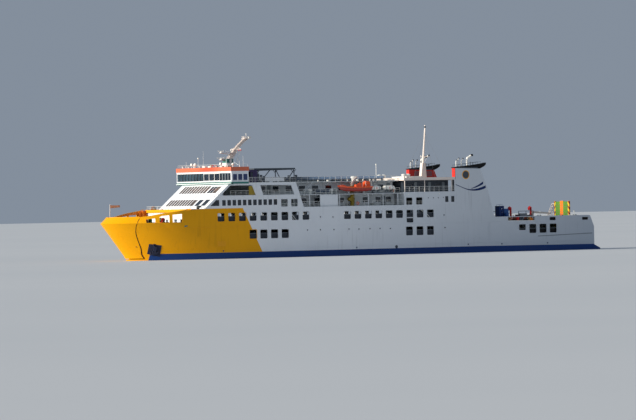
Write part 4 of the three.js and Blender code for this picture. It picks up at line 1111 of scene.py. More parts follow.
def visor_trim():
    """The visor's black strip along its seam, which is painted shadow of the gap, its stringers and frames,
    and its rail cap.
    """
    kit = Kit()
    # Black strip along the seam, wider towards the foot: painted shadow of the gap between visor and hull
    rings = []
    for p in smooth([(x, 0, z) for x, z in VISOR_SEAM], 3):
        if p.z < rail_height(p.x) - 4:
            near, far = p.x + 1, p.x + 19 - 13 * min(1, p.z / 620)
            edges = ((near, -3), (near, 1.5), (far, 1.5), (far, -3))
            rings.append([(x, skin(x, p.z) + out, p.z) for x, out in edges])
    kit.loft(rings, "black")
    for z in (180, 300, 420, 540, 640):
        start = 4790 + z * 0.35
        stringer = [(x, skin(x, z, WALL) - 7, z) for x in spread(start, start + 0.25 * z + 30, 8)]
        kit.tube(stringer, 7, "inside", 6)
    for x in spread(4990, 5170, 4):
        kit.tube([(x, skin(x, z, WALL) - 5, z) for z in spread(715, 800, 4)], 6, "bow_orange", 6)
    kit.turned([(-3, 11), (4, 11), (6, 7)], (4885, skin(4885, 262), 262), (0.6, 1, 0), "brown", 12)
    kit.tube([*bulwark_cap(spread(4935, 5240, 8)), (5285, 14, 813)], 7, "yellow", 8)
    kit.mirror()
    kit.done("visor_trim", "visor", "hull_yellow")


def flagstaff():
    """The foot, the truck and the line of the bow's flagstaff."""
    kit = Kit()
    kit.turned([(0, 14), (6, 14), (10, 6)], (5265, 0, KNUCKLE), UP, "mast")
    kit.turned([(0, 5), (4, 8), (9, 5), (12, 1)], (5251.5, 0, 1054), UP, "mast", 12)
    kit.tube([(5258, 5.5, 760), (5250, 5, 990), (5248.5, 2, 1045)], 1.2, "rope", 5)
    kit.done("flagstaff_fittings", "visor", "mast_white")


def flag():
    """The bow's bare pennant: a cloth that waves as it streams aft from its staff."""
    kit = Kit()
    rings = []
    for share in spread(0, 1, 26):
        x = FLAG_X - 213 * share
        wave = 3.4 * math.sin(11 * share) * min(1, 3 * share)
        low = 990 + 12 * share - 4 * share * math.sin(6 * share)
        high = 1049 - 9 * share - 4 * share * math.sin(5 * share)
        near = [(x, wave - 0.4, z) for z in spread(low, high, 6)]
        rings.append(near + [(x, wave + 0.4, z) for _, _, z in reversed(near)])
    kit.loft(rings, "flag")
    pennant = kit.done("bow_pennant", "visor", "flag_cloth", stands_for=("bow_flag",))


def drum(kit, x, y, z, half, look, line):
    """A winch drum between two flanges on its seat, wound with rope."""
    kit.box(x - 40, x + 40, y - half - 8, y + half + 8, z, z + 14, look)
    for way in (-1, 1):
        kit.turned([(-5, 42), (5, 42)], (x, y + way * half, z + 52), PORT, look, 20)
        seat = y + way * (half + 12)
        bracket = [(x - 34, z + 10), (x + 34, z + 10), (x + 10, z + 62), (x - 10, z + 62)]
        kit.across(bracket, seat - 4, seat + 4, look)
    profile = [(-half * 0.97, 24)]
    for middle in (half * (0.225 * turn - 0.9) for turn in range(9)):
        profile += [(middle - half * 0.1, 27), (middle, 31), (middle + half * 0.1, 27)]
    kit.turned([*profile, (half * 0.97, 24)], (x, y, z + 52), PORT, line, 18)


def bollards(kit, x, y, z, apart=34):
    """A pair of mooring bollards on one plate."""
    kit.box(x - apart - 22, x + apart + 22, y - 22, y + 22, z, z + 6, "black", 10)
    for way in (-1, 1):
        post = [(0, 15), (44, 15), (46, 20), (52, 20), (54, 16)]
        kit.turned(post, (x + way * apart, y, z + 4), UP, "black", 14)


def forecastle():
    """Windlasses, bollards and chain on the forecastle, and the bulwark's frames and openings."""
    kit = Kit()
    z = KNUCKLE
    drum(kit, 4560, 230, z, 60, "green", "rope")
    drum(kit, 4330, 330, z, 46, "red", "rope_green")
    kit.turned([(0, 30), (24, 22), (40, 26), (54, 30), (60, 22)], (4170, 560, z), UP, "grey", 18)
    for x, y, apart in MOORING_BOLLARDS:
        bollards(kit, x, y, z, apart)
    for i, x in enumerate(range(4360, 4048, -26)):
        kit.ring((x, CHAIN_Y, z + 7), (0, i % 2, 1 - i % 2), 11, 3, "black", 12)
    kit.box(4640, 4700, 60, 130, z, z + 60, "grey")
    kit.turned([(0, 20), (70, 20), (76, 14)], (4660, 330, z), UP, "red", 14)
    for x in spread(3990, 4840, 12):
        top = rail_height(x) - 8
        y = skin(x, 760, WALL)
        if clear_of(x, BOW_PORTS, 8):
            kit.across(square(x - 4, x + 4, z, top), y - 22, y + 1, "bow_orange")
    kit.tube(bulwark_cap(spread(4010, 4880, 16)), 7, "yellow", 8)
    for port in BOW_PORTS:
        hull_frame(kit, grown(port, 7), port, 3, "yellow")
    kit.mirror()
    kit.done("forecastle_gear", slot="deck_green")


def platform():
    """Railing, locker and gate doors of the platform under the house front."""
    kit = Kit()
    kit.rail([(LIP_X, y, HOUSE_FLOOR) for y in (790, 0, -790)], 58, 130, 2)
    for way in (-1, 1):
        kit.rail([(LIP_X, way * 790, HOUSE_FLOOR), (3740, way * 800, HOUSE_FLOOR)], 58, 120, 2)
    kit.box(3830, 3900, -780, -690, HOUSE_FLOOR, HOUSE_FLOOR + 44, "brown", 10)
    kit.turned([(0, 30), (16, 30), (28, 12)], (3865, -735, HOUSE_FLOOR + 44), UP, "brown")
    for y0, y1 in ((-762, -338), (338, 762)):
        kit.box(3952, 3958, y0, y1, 716, 924, "white")
        for z in spread(730, 912, 11):
            kit.box(3957.5, 3961, y0, y1, z - 5, z + 3, "white")
    kit.done("platform_fittings")


# z low and high, how many, y of the first middle, pitch, width, look
FRONT_WINDOWS = [
    (1000, 1120, 9, -665, 95, 72, "front_glass"),
    (1000, 1116, 1, 215, 0, 130, "front_glass"),
    (1000, 1116, 2, 420, 230, 150, "glass"),
    (1234, 1372, 9, -630, 95, 72, "front_glass"),
    (1234, 1372, 1, 235, 0, 95, "front_glass"),
    (1234, 1360, 2, 384, 100, 94, "glass"),
    (1234, 1360, 1, 602, 0, 130, "front_glass"),
]


def front_wall():
    """Panes and frames of the raked front, with lamps and ledges on it."""
    kit = Kit()
    for low, high, count, first, pitch, width, look in FRONT_WINDOWS:
        for y in (first + i * pitch for i in range(count)):
            start, end = y - width / 2, y + width / 2
            kit.window(raked_plane, start, end, low, high, 0, look, lip=3, corner=8, back=0)
    for z in (958, 1204):
        kit.slab(raked_plane, square(-815, 815, z, z + 8), -2, 5, "white")
    kit.box(3640, 3700, 556, 624, HOUSE_FLOOR, HOUSE_FLOOR + 52, "black")
    kit.box(3646, 3694, 562, 618, HOUSE_FLOOR + 52, HOUSE_FLOOR + 58, "grey")
    for y in (-420, 80, 745):
        kit.slab(raked_plane, rounded(y - 16, y + 16, 1160, 1178, 5), -2, 14, "white")
        kit.slab(raked_plane, rounded(y - 12, y + 12, 1156, 1164, 3), 4, 12, "lamp")
    kit.done("front_panes")


# Passenger house: x of the aft edge, x of the forward edge, z low, z high
SIDE_WINDOWS = [(3224 - i * 114.5, 3308 - i * 114.5, 994, 1104) for i in range(11)]
AFT_WINDOWS = [(-1856, -1776, 985, 1103), (-1997, -1917, 985, 1103)]
# The same four numbers, and z at the foot of the rail behind the opening
SIDE_DOORWAYS = [
    (1842, 1994, 957, 1102, 947), (1618, 1770, 957, 1102, 947), (-1011, -863, 948, 1088, 948),
    (-1244, -1096, 948, 1088, 948)]
# Half breadth of the inner wall, half width of its windows or doors, z low, z high, x of each
INNER_WINDOWS = [
    (INNER_HALF, 62, 1008, 1112, (
        2760, 2460, 2160, 1860, 1600, 1300, 1000, 700, 450, 200, -100, -400, -640)),
    (UPPER_INNER_HALF, 72, 1248, 1352, (2200, 1900, 1600, 1300, 1000, 700, 400, 100, -200, -500)),
]
INNER_DOORS = [
    (INNER_HALF, 44, HOUSE_FLOOR + 4, 1130, (1450, -520)),
    (UPPER_INNER_HALF, 40, PROMENADE + 6, 1376, (2050, -680)),
]
# The two big openings at the promenade
PROMENADE_OPENINGS = [
    [(front_x(1187) - 62, 1187), (2556, 1187), (2634, 1372), (front_x(1372) - 62, 1372)],
    [(2392, 1187), (1693, 1187), (1762, 1366), (2456, 1372)],
]
# The pane that follows the raked front
CORNER_PANE = [(front_x(994) - 60, 994), (3372, 994), (3372, 1104), (front_x(1104) - 60, 1104)]
PORTHOLES_X, PORTHOLES_Z = (-1382, -1504, -1616, -1738), 1075
SIDE_LAMPS_X = (2860, 2480, 2100, 1560, -920, -1640)
LOCKERS_X = (1150, 325, -250, 2310)
# Beams under the decks above: x of the foremost, y inner and outer, z low and high
BEAMS = [
    (1560, INNER_HALF + 1, 797, 1165.5, 1172),
    (1600, UPPER_INNER_HALF + 1, 612, 1401, 1411.8),
]
PROMENADE_VENTS = [(1250, 700), (760, 700), (560, 560), (-700, 660)]
TOP_DECK_VENTS = [(1180, 180), (490, 180), (-190, 180), (150, 540)]
LIFE_RINGS = [(230, 799, 996), (-640, 713, 1232)]
# Railings along the side: x of both ends, y, z, distance between the posts
SIDE_RAILS = [
    (1556, 676, 792, HOUSE_FLOOR, 110), (640, 460, 792, HOUSE_FLOOR, 110), (160, -20, 792, HOUSE_FLOOR, 110),
    (-120, -812, 792, HOUSE_FLOOR, 110), (1556, 700, 790, PROMENADE, 118), (-120, -812, 706, PROMENADE, 118)]
SHELTER_WALL, SHELTER_CEILING = 600, 1416
CANOPY_BEAM_Z, CANOPY_HALF = 1656, 792
# Braces under the canopy: x at the top, x and z at the foot
CANOPY_BRACES = [(2199, 2382, 1470), (2070, 1960, 1470), (1660, 1780, 1500)]
TOP_RAIL = [(-812, 612), (1630, 612), (1650, 828), (2690, 828), (2708, 972), (2790, 974)]


def grown(outline, by):
    """An outline whose points are all moved away from its middle, by the same amount each way."""
    middle = [sum(p[i] for p in outline) / len(outline) for i in (0, 1)]
    return [(a + math.copysign(by, a - middle[0]), b + math.copysign(by, b - middle[1])) for a, b in outline]


def vent(kit, foot, waist, neck, head, brim, top, crown):
    """A mushroom ventilator: radii of its waist, head and crown, and heights of its neck, brim and top."""
    profile = [(0, waist), (neck, waist), (neck + 4, head), (brim, head), (top, crown)]
    kit.turned(profile, foot, UP, "fitting")


def house_side():
    """Panes, frames, doorways and lamps of the house's side, and the edge strips of its decks."""
    kit = Kit()
    for aft, fore, low, high in SIDE_WINDOWS:
        kit.window(side_plane, aft, fore, low, high, HALF_BEAM, lip=3, corner=8)
    kit.across(grown(CORNER_PANE, 7), HALF_BEAM - 3, HALF_BEAM + 4, "white", CORNER_PANE)
    kit.across(CORNER_PANE, HALF_BEAM - 7, HALF_BEAM - 4, "glass")
    for outline in PROMENADE_OPENINGS:
        kit.across(grown(outline, 5), HALF_BEAM - 3, HALF_BEAM + 3, "white", outline)
        _, aft, fore, _ = sorted(x for x, _ in outline)
        kit.side_rail(aft + 6, fore - 6, HALF_BEAM - 14, PROMENADE + 1, 92, 118)
    for aft, fore, low, high, foot in SIDE_DOORWAYS:
        kit.window(side_plane, aft, fore, low, high, HALF_BEAM, None, "white", 7, 14)
        kit.side_rail(aft + 4, fore - 4, HALF_BEAM - 12, foot, 70, 80, 2)
    for aft, fore, low, high in AFT_WINDOWS:
        kit.window(side_plane, aft, fore, low, high, HALF_BEAM, lip=6, corner=10)
    for x in PORTHOLES_X:
        centre = (x, HALF_BEAM, PORTHOLES_Z)
        kit.turned([(-3, 14), (4, 14), (4.5, 11), (1, 9.5), (-3, 9.5)], centre, PORT, "white", 14)
        kit.turned([(-3, 10), (1.4, 10)], centre, PORT, "glass", 14)
    # Deck lines on the house's side, the white panel in the open passage, and lamps
    kit.box(1600, 3220, HALF_BEAM - 1, HALF_BEAM + 2, 1172, 1179, "white")
    kit.box(-2016, -828, HALF_BEAM - 1, HALF_BEAM + 2, 1184, 1192, "white")
    kit.across(rounded(685, 1089, HOUSE_FLOOR, 1166, 10), 796, 802, "white")
    for x in SIDE_LAMPS_X:
        kit.across(rounded(x - 12, x + 12, 1140, 1158, 4), HALF_BEAM - 2, HALF_BEAM + 9, "lamp")
    kit.mirror()
    kit.done("house_side_panes")


def lounge_walls():
    """Windows, doors and lockers of the inner walls along the open side passages."""
    kit = Kit()
    for wall, half, low, high, places in INNER_WINDOWS:
        for x in places:
            kit.window(side_plane, x - half, x + half, low, high, wall, lip=6, corner=10, back=0)
    for wall, half, low, high, places in INNER_DOORS:
        for x in places:
            kit.across(rounded(x - half, x + half, low, high, 10), wall, wall + 5, "grey")
    for x in LOCKERS_X:
        kit.across(rounded(x - 60, x + 60, 960, 1000, 8), INNER_HALF, INNER_HALF + 8, "fitting")
        for z in spread(968, 992, 4):
            kit.box(x - 52, x + 52, INNER_HALF + 7, INNER_HALF + 9.5, z - 2, z + 2, "dark")
    # Beams under the decks above, which throw bars of shadow on the walls
    for fore, inner, outer, low, high in BEAMS:
        for x in spread(-760, fore, 20):
            kit.box(x - 5, x + 5, inner, outer, low, high, "white")
    # Ladder to the top deck, board and ventilators on the promenade
    kit.ladder((1400, 600, PROMENADE), (1140, 600, TOP_DECK), (0, 34, 0), "white", 24)
    kit.box(2566, 2700, 811, 824, PROMENADE, 1357, "olive", 5)
    kit.box(2572, 2694, 809, 812, 1200, 1330, "yellow", 1)
    for x, y in PROMENADE_VENTS:
        vent(kit, (x, y, PROMENADE), 26, 60, 40, 86, 100, 18)
    kit.mirror()
    kit.done("lounge_walls")


def benches():
    """Rows of bench seats on the open decks."""
    kit = Kit()
    rows = [(x, y, PROMENADE) for x in (900, 1040) for y in (-660, 660)]
    rows += [(x, y, TOP_DECK_FACE) for x in spread(-560, 1320, 12) for y in (-360, 0, 360)]
    rows += [(x, y, TOP_DECK_FACE) for x in (1800, 1980, 2160) for y in (-500, 500)]
    for x, y, z in rows:
        for foot in (y - 110, y + 110):
            kit.box(x - 20, x + 22, foot - 3, foot + 3, z, z + 36, "grey")
        kit.box(x - 24, x + 24, y - 130, y + 130, z + 36, z + 44, "seat", 8)
        back = [(x - 26, z + 44), (x - 20, z + 44), (x - 30, z + 92), (x - 36, z + 92)]
        kit.across(back, y - 130, y + 130, "seat")
    kit.done("deck_benches", slot="house_blue")


def railings():
    """Rails along the promenade and the top deck, with bare life rings, ventilators and a lamp post."""
    kit = Kit()
    for start, end, y, z, pitch in SIDE_RAILS:
        kit.side_rail(start, end, y, z, 100, pitch)
    kit.rail([(x, y, TOP_DECK_FACE) for x, y in TOP_RAIL], 96, 130)
    for centre in LIFE_RINGS:
        kit.ring(centre, PORT, 25, 6, "ring", 20)
    for x, y in TOP_DECK_VENTS:
        vent(kit, (x, y, TOP_DECK_FACE), 34, 50, 52, 80, 96, 24)
    kit.mirror()
    kit.post(-341, 600, 1474, 1724, 6, "fitting", 8)
    kit.turned([(0, 10), (16, 14), (26, 6)], (-341, 600, 1722), UP, "lamp", 12)
    kit.done("deck_railings")


def canopy_gear():
    """What stands under and behind the canopy: board, lockers, braces and the officers' doors."""
    kit = Kit()
    kit.across(rounded(1894, 2322, 1439, 1509, 8), 796, 804, "white")
    for x in (1920, 2100, 2300):
        kit.post(x, 793, TOP_DECK_FACE, 1500, 5, "fitting")
    for aft, fore, high, count in ((2305, 2488, 1600, 3), (1586, 1884, 1560, 4)):
        for x in spread(aft + 26, fore - 26, count):
            kit.box(x - 24, x + 24, 772, 796, 1426, high - (x * 7) % 60, "dark", 8)
    for x, foot_x, foot in CANOPY_BRACES:
        kit.tube([(x, CANOPY_HALF - 4, CANOPY_BEAM_Z), (foot_x, CANOPY_HALF - 4, foot)], 8, "dark")
    for x in (2478, 2078, 1668):
        for way in (-1, 1):
            kit.tube([(x, 780, 1600), (x + way * 60, 780, 1662)], 5, "dark")
    kit.window(side_plane, 2550, 2650, 1440, 1620, 815, "glass", "officers_painted_shade", 8, 12)
    kit.across(rounded(2700, 2770, 1432, 1600, 10), 813, 819, "dark")
    kit.mirror()
    for x in spread(1680, 2520, 8):
        kit.box(x - 5, x + 5, -CANOPY_HALF, CANOPY_HALF, CANOPY_BEAM_Z, CANOPY_BEAM_Z + 7, "dark")
    kit.done("canopy_gear", slot="dark_paint")


def shelter():
    """Windows, doors, rails, lamps and beams of the sheltered deck before the funnels."""
    kit = Kit()
    kit.side_rail(-838, -1996, 822, SHELTER_FLOOR, 100, 116)
    for x in spread(-1940, -880, 15):
        kit.box(x - 5, x + 5, SHELTER_WALL + 2, 820, 1410.5, SHELTER_CEILING + 0.5, "dark")
    for x in (-1750, -1430, -1110):
        kit.window(side_plane, x - 80, x + 80, 1250, 1350, SHELTER_WALL, frame="dark", corner=10)
    for x in (-1900, -1580, -1250, -940):
        door = rounded(x - 30, x + 30, SHELTER_FLOOR + 2, 1380, 8)
        kit.across(door, SHELTER_WALL, SHELTER_WALL + 5, "grey")
    for x in (-1150, -1500, -1800):
        kit.box(x - 30, x + 30, 700, 716, 1411, SHELTER_CEILING + 0.5, "lamp")
    kit.box(-2018, -1962, 540, SHELTER_WALL, SHELTER_FLOOR, SHELTER_CEILING, "dark")
    for low, high in ((1424, 1432), (1458, 1468)):
        kit.box(-2018, -826, HALF_BEAM - 1, HALF_BEAM + 3, low, high, "mast")
    kit.box(-2030, -2000, HALF_BEAM - 2, HALF_BEAM + 1.5, 640, 1420, "white")
    kit.mirror()
    kit.box(-1640, -1300, -300, 300, 1470, 1500, "fitting", 30)
    for x in (-1100, -1200):
        for y in (-420, 420):
            vent(kit, (x, y, 1470), 30, 40, 46, 66, 80, 20)
    kit.done("shelter_fittings")


# Bridge
BRIDGE_FRONT_X, BRIDGE_AFT_X, BRIDGE_HALF = 3180, 2800, 980
BRIDGE_LOW, BRIDGE_HIGH = 1474, 1602
BRIDGE_FLOOR, APRON_FOOT, APRON_HEAD = 1436, 1396, 1441
ROOF_EDGE_LOW = 1635
# The glazed band, from starboard: first y, width, count and pitch of the panes, their look, the band's look
BRIDGE_PANES = [
    (-955, 80, 9, 107, "bridge_glass", "black"), (8, 174, 3, 188, "glass", "fitting"),
    (572, 78, 4, 100, "glass", "grey")]
# Aerials of the wheelhouse roof: x, y, z of the top, radius
AERIALS = [
    (2993, -500, 1900, 4), (3000, -300, 2040, 2.4), (2675, 600, 1927, 3), (2541, 0, 2053, 2.4),
    (3080, 640, 1880, 2.4), (2900, 820, 1840, 3), (3100, -760, 1850, 3), (2860, 300, 1960, 2.4)]
AERIAL_LAMP = (2993, -500, 1906)
SEARCHLIGHTS = [(3060, -620), (3060, 420)]
# Domes of the satellite aerials: x, y, radius
DOMES = [(2900, -760, 34), (2880, 560, 26)]
ROOF_LOCKERS = [(2850, -300), (2860, 140), (3090, -120)]
# Foremast: x, z and the half widths of its girder, fore and aft and across
FOREMAST = [
    (2630, 1764, 56, 40), (2610, 1830, 46, 36), (2580, 1900, 40, 32), (2530, 1970, 34, 28),
    (2480, 2040, 30, 26), (2420, 2105, 26, 22), (2350, 2170, 22, 20), (2280, 2228, 20, 18),
    (2214, 2262, 18, 16)]
MAST_TOP_X, MAST_TOP_Z = 2219, 2270
YARD_X, YARD_Z = 2455, 2067
RADAR_X, LOWER_RADAR_Z, UPPER_RADAR_Z = 2785, 1874, 2004
# Radar platforms: level, x of the aft edge, half breadth, depth of the brackets
RADAR_PLATFORMS = [(LOWER_RADAR_Z, 2540, 40, 46), (UPPER_RADAR_Z, 2480, 34, 50)]
CORNERS = ((1, 1), (-1, 1), (-1, -1), (1, -1))


def bridge_glass(kit, front):
    """Panes, mullions and wipers of the front, and the windows of the ends and of the aft wall."""
    for first, width, count, pitch, look, mullion in BRIDGE_PANES:
        last = first + (count - 1) * pitch + width
        band = rounded(first - 6, last + 6, BRIDGE_LOW - 10, BRIDGE_HIGH + 6, 8)
        kit.slab(cross_plane, band, front - 1, front + 2, mullion)
        for i in range(count):
            y = first + i * pitch
            pane = rounded(y, y + width, BRIDGE_LOW, BRIDGE_HIGH, 6)
            kit.slab(cross_plane, pane, front + 1, front + 3.5, look)
            kit.tube([(front + 5, y + 20, BRIDGE_HIGH - 4), (front + 5, y + 62, 1500)], 1.6, "black", 4)
            kit.box(front + 2, front + 6, y + 12, y + 28, BRIDGE_HIGH - 8, BRIDGE_HIGH, "black")
    for side in (-1, 1):
        def wing_end(x, z, depth, side=side):
            return (x, side * (BRIDGE_HALF + depth), z)
        for x in (2824, 2939, 3054):
            kit.window(wing_end, x, x + 96, BRIDGE_LOW, BRIDGE_HIGH, 0, "blue_glass", "white", 1, 8, 2)
        kit.slab(wing_end, square(BRIDGE_AFT_X, front, 1404, APRON_HEAD), -3, 3, "teal")

    def aft_wall(y, z, depth):
        return (BRIDGE_AFT_X - depth, y, z)
    for y in (-690, -230, 230, 690):
        kit.window(aft_wall, y - 60, y + 60, BRIDGE_LOW, BRIDGE_HIGH, 0)


def bridge_front(kit, front):
    """The teal apron, the sill and the handrails of the bridge front."""
    foot, low, high = front_x(APRON_FOOT), APRON_FOOT, APRON_HEAD
    apron = [(foot + 6, low), (front + 6, high), (front - 8, high), (foot - 12, low)]
    kit.across(apron, -983, 983, "teal")
    kit.box(front - 2, front + 5, -978, 978, 1454, 1468, "white")
    for level in (1448, 1616):
        kit.tube([(front + 12, y, level) for y in (-960, 960)], 3, "fitting", 6)
        for y in spread(-960, 960, 17):
            kit.tube([(front - 2, y, level), (front + 12, y, level)], 2.4, "fitting", 4)


def consoles(kit):
    """Consoles and chairs behind the glass."""
    kit.box(3060, 3130, -500, 500, BRIDGE_FLOOR, 1496, "grey")
    kit.across([(3050, 1496), (3135, 1496), (3120, 1520), (3060, 1506)], -500, 500, "dark")
    for way in (-1, 1):
        wing, chair = way * 900, way * 160
        kit.box(3050, 3120, wing - 50, wing + 50, BRIDGE_FLOOR, 1496, "grey")
        kit.box(2960, 3000, chair - 24, chair + 24, 1462, 1470, "black")
        kit.box(2952, 2962, chair - 22, chair + 22, 1466, 1530, "black")
        kit.turned([(0, 20), (4, 20), (6, 6), (28, 6)], (2980, chair, BRIDGE_FLOOR), UP, "steel", 12)


def wheelhouse_trim():
    """Everything on the wheelhouse's walls, and what stands behind its glass."""
    kit = Kit()
    bridge_glass(kit, BRIDGE_FRONT_X)
    bridge_front(kit, BRIDGE_FRONT_X)
    consoles(kit)
    kit.done("bridge_windows")


def roof_gear():
    """The roof's edge, railing, aerials, lights, horns and compass."""
    kit = Kit()
    z = ROOF_TOP
    inner = rounded(2806, 3174, -970, 970, 12)
    kit.slab(deck_plane, rounded(2792, 3188, -984, 984, 16), z - 10, z, "roof", inner)
    low = ROOF_EDGE_LOW
    kit.slab(deck_plane, rounded(2791, 3189, -985, 985, 16), low, low + 8, "white", inner)
    aft, fore, side = 2806, 3165, 960
    kit.rail([(aft, -side, z), (fore, -side, z), (fore, side, z), (aft, side, z)], 52, 150, 2, 2.2)
    for y in spread(-800, 800, 9):
        kit.turned([(0, 9), (14, 9), (18, 13), (30, 13), (34, 5)], (3150, y, z), UP, "lamp", 10)
    for x, y, top, radius in AERIALS:
        foot = z - 60 if x < BRIDGE_AFT_X else z
        kit.tube([(x, y, foot), (x, y, top)], radius, "fitting", 6, radius * 0.6)
    kit.turned([(-15, 2), (-12, 10), (0, 15), (12, 10), (15, 2)], AERIAL_LAMP, UP, "lamp", 12)
    for x, y in SEARCHLIGHTS:
        centre = (x, y, z + 66)
        kit.post(x, y, z, z + 44, 6, "fitting", 8)
        kit.turned([(-22, 18), (-16, 26), (14, 28), (20, 24)], centre, AHEAD, "fitting", 18)
        kit.turned([(18, 23), (22, 22)], centre, AHEAD, "lamp", 18)
    for x, y, size in DOMES:
        kit.turned([(0, 9), (30, 9)], (x, y, z), UP, "fitting", 10)
        dome = [(30 + size * (1 - math.cos(a)), size * math.sin(a)) for a in spread(0.2, 2.9, 9)]
        kit.turned(dome, (x, y, z), UP, "canister", 20)
    # Compass, and a pair of horns
    kit.turned([(0, 16), (30, 14), (34, 20), (46, 20), (58, 8)], (3020, 0, z), UP, "bronze", 16)
    for y in (-40, 40):
        kit.turned([(0, 5), (30, 7), (56, 18), (58, 15), (34, 5)], (2900, y, z + 36), AHEAD, "red", 14)
        kit.box(2890, 2910, y - 8, y + 8, z, z + 30, "grey")
    for x, y in ROOF_LOCKERS:
        kit.box(x - 30, x + 30, y - 40, y + 40, z, z + 34, "fitting", 8)
    kit.tube([(aft, -side, 1560), (aft, side, 1560)], 3, "fitting", 6)
    kit.done("roof_gear")


def mast_hut():
    """The small hut with two doors at the foremast's foot."""
    kit = Kit()
    kit.box(2544, 2725, -86, 86, 1762, 1808, "fitting", 16)
    kit.box(2560, 2716, -80, 80, 1808, 1884, "teal", 16)
    for face in (-83, 79):
        kit.across(rounded(2600, 2650, 1812, 1878, 8), face, face + 4, "fitting")
    kit.box(2552, 2722, -84, 84, 1883, 1890, "fitting", 16)
    kit.done("mast_hut", slot="mast_white")


def lattice(kit, spine, look, sides=4):
    """A girder along a spine of points with a half width each: corner bars, rings and diagonals."""
    frames = []
    for x, z, half_x, half_y in spine:
        frames.append([(x + a * half_x, b * half_y, z + a * half_x * 0.55) for a, b in CORNERS])
    for corner in range(4):
        kit.tube([f[corner] for f in frames], 5, look, sides + 2)
    for i, f in enumerate(frames):
        kit.tube([*f, f[0]], 3.4, look, sides)
        if i:
            last = frames[i - 1]
            for corner in range(4):
                far = (corner + (1 if (i + corner) % 2 else 3)) % 4
                kit.tube([last[corner], f[far]], 2.6, look, sides)


def mast_top(kit, look):
    """Platform, staff and lamps at the foremast's top."""
    top = MAST_TOP_Z
    kit.box(2150, 2290, -60, 60, 2262, top, look, 14)
    edge = [(2154, 56, top), (2154, -56, top), (2286, -56, top), (2286, 56, top), (2154, 56, top)]
    kit.rail(edge, 34, 60, 2, 2, look=look)
    kit.tube([(MAST_TOP_X, 0, 2262), (MAST_TOP_X, 0, 2366)], 6, look, 8, 3)
    kit.turned([(0, 8), (16, 8), (20, 3)], (MAST_TOP_X, 0, 2346), UP, "lamp", 10)
    for x, y, lamp in ((2180, 30, "lamp"), (2260, -30, "canister")):
        kit.turned([(0, 9), (10, 13), (30, 13), (36, 4)], (x, y, top), UP, lamp, 12)


def yard(kit, look):
    """The foremast's yard with its lamps and halyards."""
    kit.tube([(YARD_X, -188, YARD_Z), (YARD_X, 188, YARD_Z)], 6, look, 8)
    for y in (-180, -110, 110, 180):
        lamp = "lamp" if y < 0 else "red"
        kit.turned([(-16, 7), (-12, 9), (10, 9), (14, 4)], (YARD_X, y, 2046), UP, lamp, 10)
        kit.tube([(YARD_X, y, YARD_Z), (2520, y * 0.6, 1760)], 1.0, "rope", 4)
    for y in (-60, 60):
        kit.tube([(YARD_X, y * 3, YARD_Z), (2430, y * 0.3, 2110)], 2.4, look, 5)


def foremast():
    """The leaning lattice foremast with its yard, its lamps and the radars' platforms."""
    kit = Kit()
    look = "mast"
    lattice(kit, FOREMAST, look)
    core = []
    for x, z, half_x, half_y in FOREMAST:
        core.append([(x + a * half_x * 0.7, b * half_y * 0.7, z + a * half_x * 0.4) for a, b in CORNERS])
    kit.loft(core, look)
    kit.box(2560, 2730, -58, 58, 1722.5, 1764, look, 12)
    mast_top(kit, look)
    yard(kit, look)
    for level, aft, half, drop in RADAR_PLATFORMS:
        kit.box(aft, 2815, -half, half, level - 8, level, look, 10)
        kit.rail([(2640, half - 4, level), (2700, half - 4, level)], 34, 40, 2, 2, look=look)
        for y in (-half + 8, half - 8):
            kit.tube([(2800, y, level - 6), (aft + 30, y * 0.8, level - drop)], 4, look, 6)
        kit.turned([(0, 22), (10, 20), (17.5, 12)], (RADAR_X, 0, level), UP, "fitting", 18)
    kit.ladder((2668, 0, 1770), (2300, 0, 2262), (0, 12, 0), look, 26)
    for way in (-1, 1):
        kit.tube([(2600, way * 30, 1870), (2480, way * 300, 1690)], 1.4, "steel", 5)
    kit.done("lattice_foremast", slot="mast_white", stands_for=("foremast",))


def scanners():
    """The two radar scanners: a slotted bar on a turning gear."""
    for body, node, level, half in (
            ("lower_scanner", "lower_radar", LOWER_RADAR_Z, 130),
            ("upper_scanner", "upper_radar", UPPER_RADAR_Z, 105)):
        kit = Kit()
        kit.turned([(18, 12), (26, 14), (29, 8)], (RADAR_X, 0, level), UP, "fitting", 16)
        bar = [(2771, 25), (2791, 22), (2798, 26), (2798, 36), (2775, 38)]
        kit.across([(x, level + up) for x, up in bar], -half, half, "fitting")
        for y in (-half, half):
            kit.box(2774, 2795, y - 3, y + 3, level + 24, level + 37, "grey")
        kit.across(square(2797, 2799, level + 27, level + 35), -half + 8, half - 8, "dark")
        kit.done(node + "_scanner", body, "mast_white", stands_for=(node,))


# Rescue boat, rafts, funnels and masts amidships
BOAT_Y = 770
# Stations of the boat: x, half breadth, keel, gunwale, floor
BOAT = [
    (-95, 62, 1240, 1306, 1300), (-82, 64, 1238, 1306, 1257), (0, 76, 1222, 1302, 1257),
    (140, 84, 1219, 1300, 1257), (300, 86, 1220, 1300, 1257), (430, 80, 1224, 1304, 1257),
    (508, 68, 1232, 1309, 1257), (530, 62, 1236, 1312, 1306), (600, 38, 1258, 1320, 1315),
    (648, 8, 1292, 1328, 1325)]
# Forward hump and engine cover, then the helm's console and its screen: half width, outline, look
BOAT_COVERS = [
    (34, [(473, 1304), (500, 1340), (560, 1354), (600, 1342), (609, 1316)], "boat_bright"),
    (42, [(-60, 1256), (-52, 1396), (-30, 1418), (34, 1418), (58, 1396), (64, 1256)], "boat_bright"),
]
BOAT_CONSOLE = [
    (34, [(132, 1256), (140, 1376), (180, 1392), (258, 1350), (272, 1256)], "boat_bright"),
    (26, [(186, 1388), (192, 1408), (198, 1408), (252, 1356)], "glass"),
]
DAVIT_X, DAVIT_Y = 250, 635
# The davit's jib: x, z, half breadth, half depth
JIB = [(262, 1352, 18, 20), (236, 1400, 15, 17), (190, 1458, 12, 14), (134, 1500, 9, 10)]
RAFT_Y, RAFT_Z, RAFT_FOOT = 750, 1284, 1200
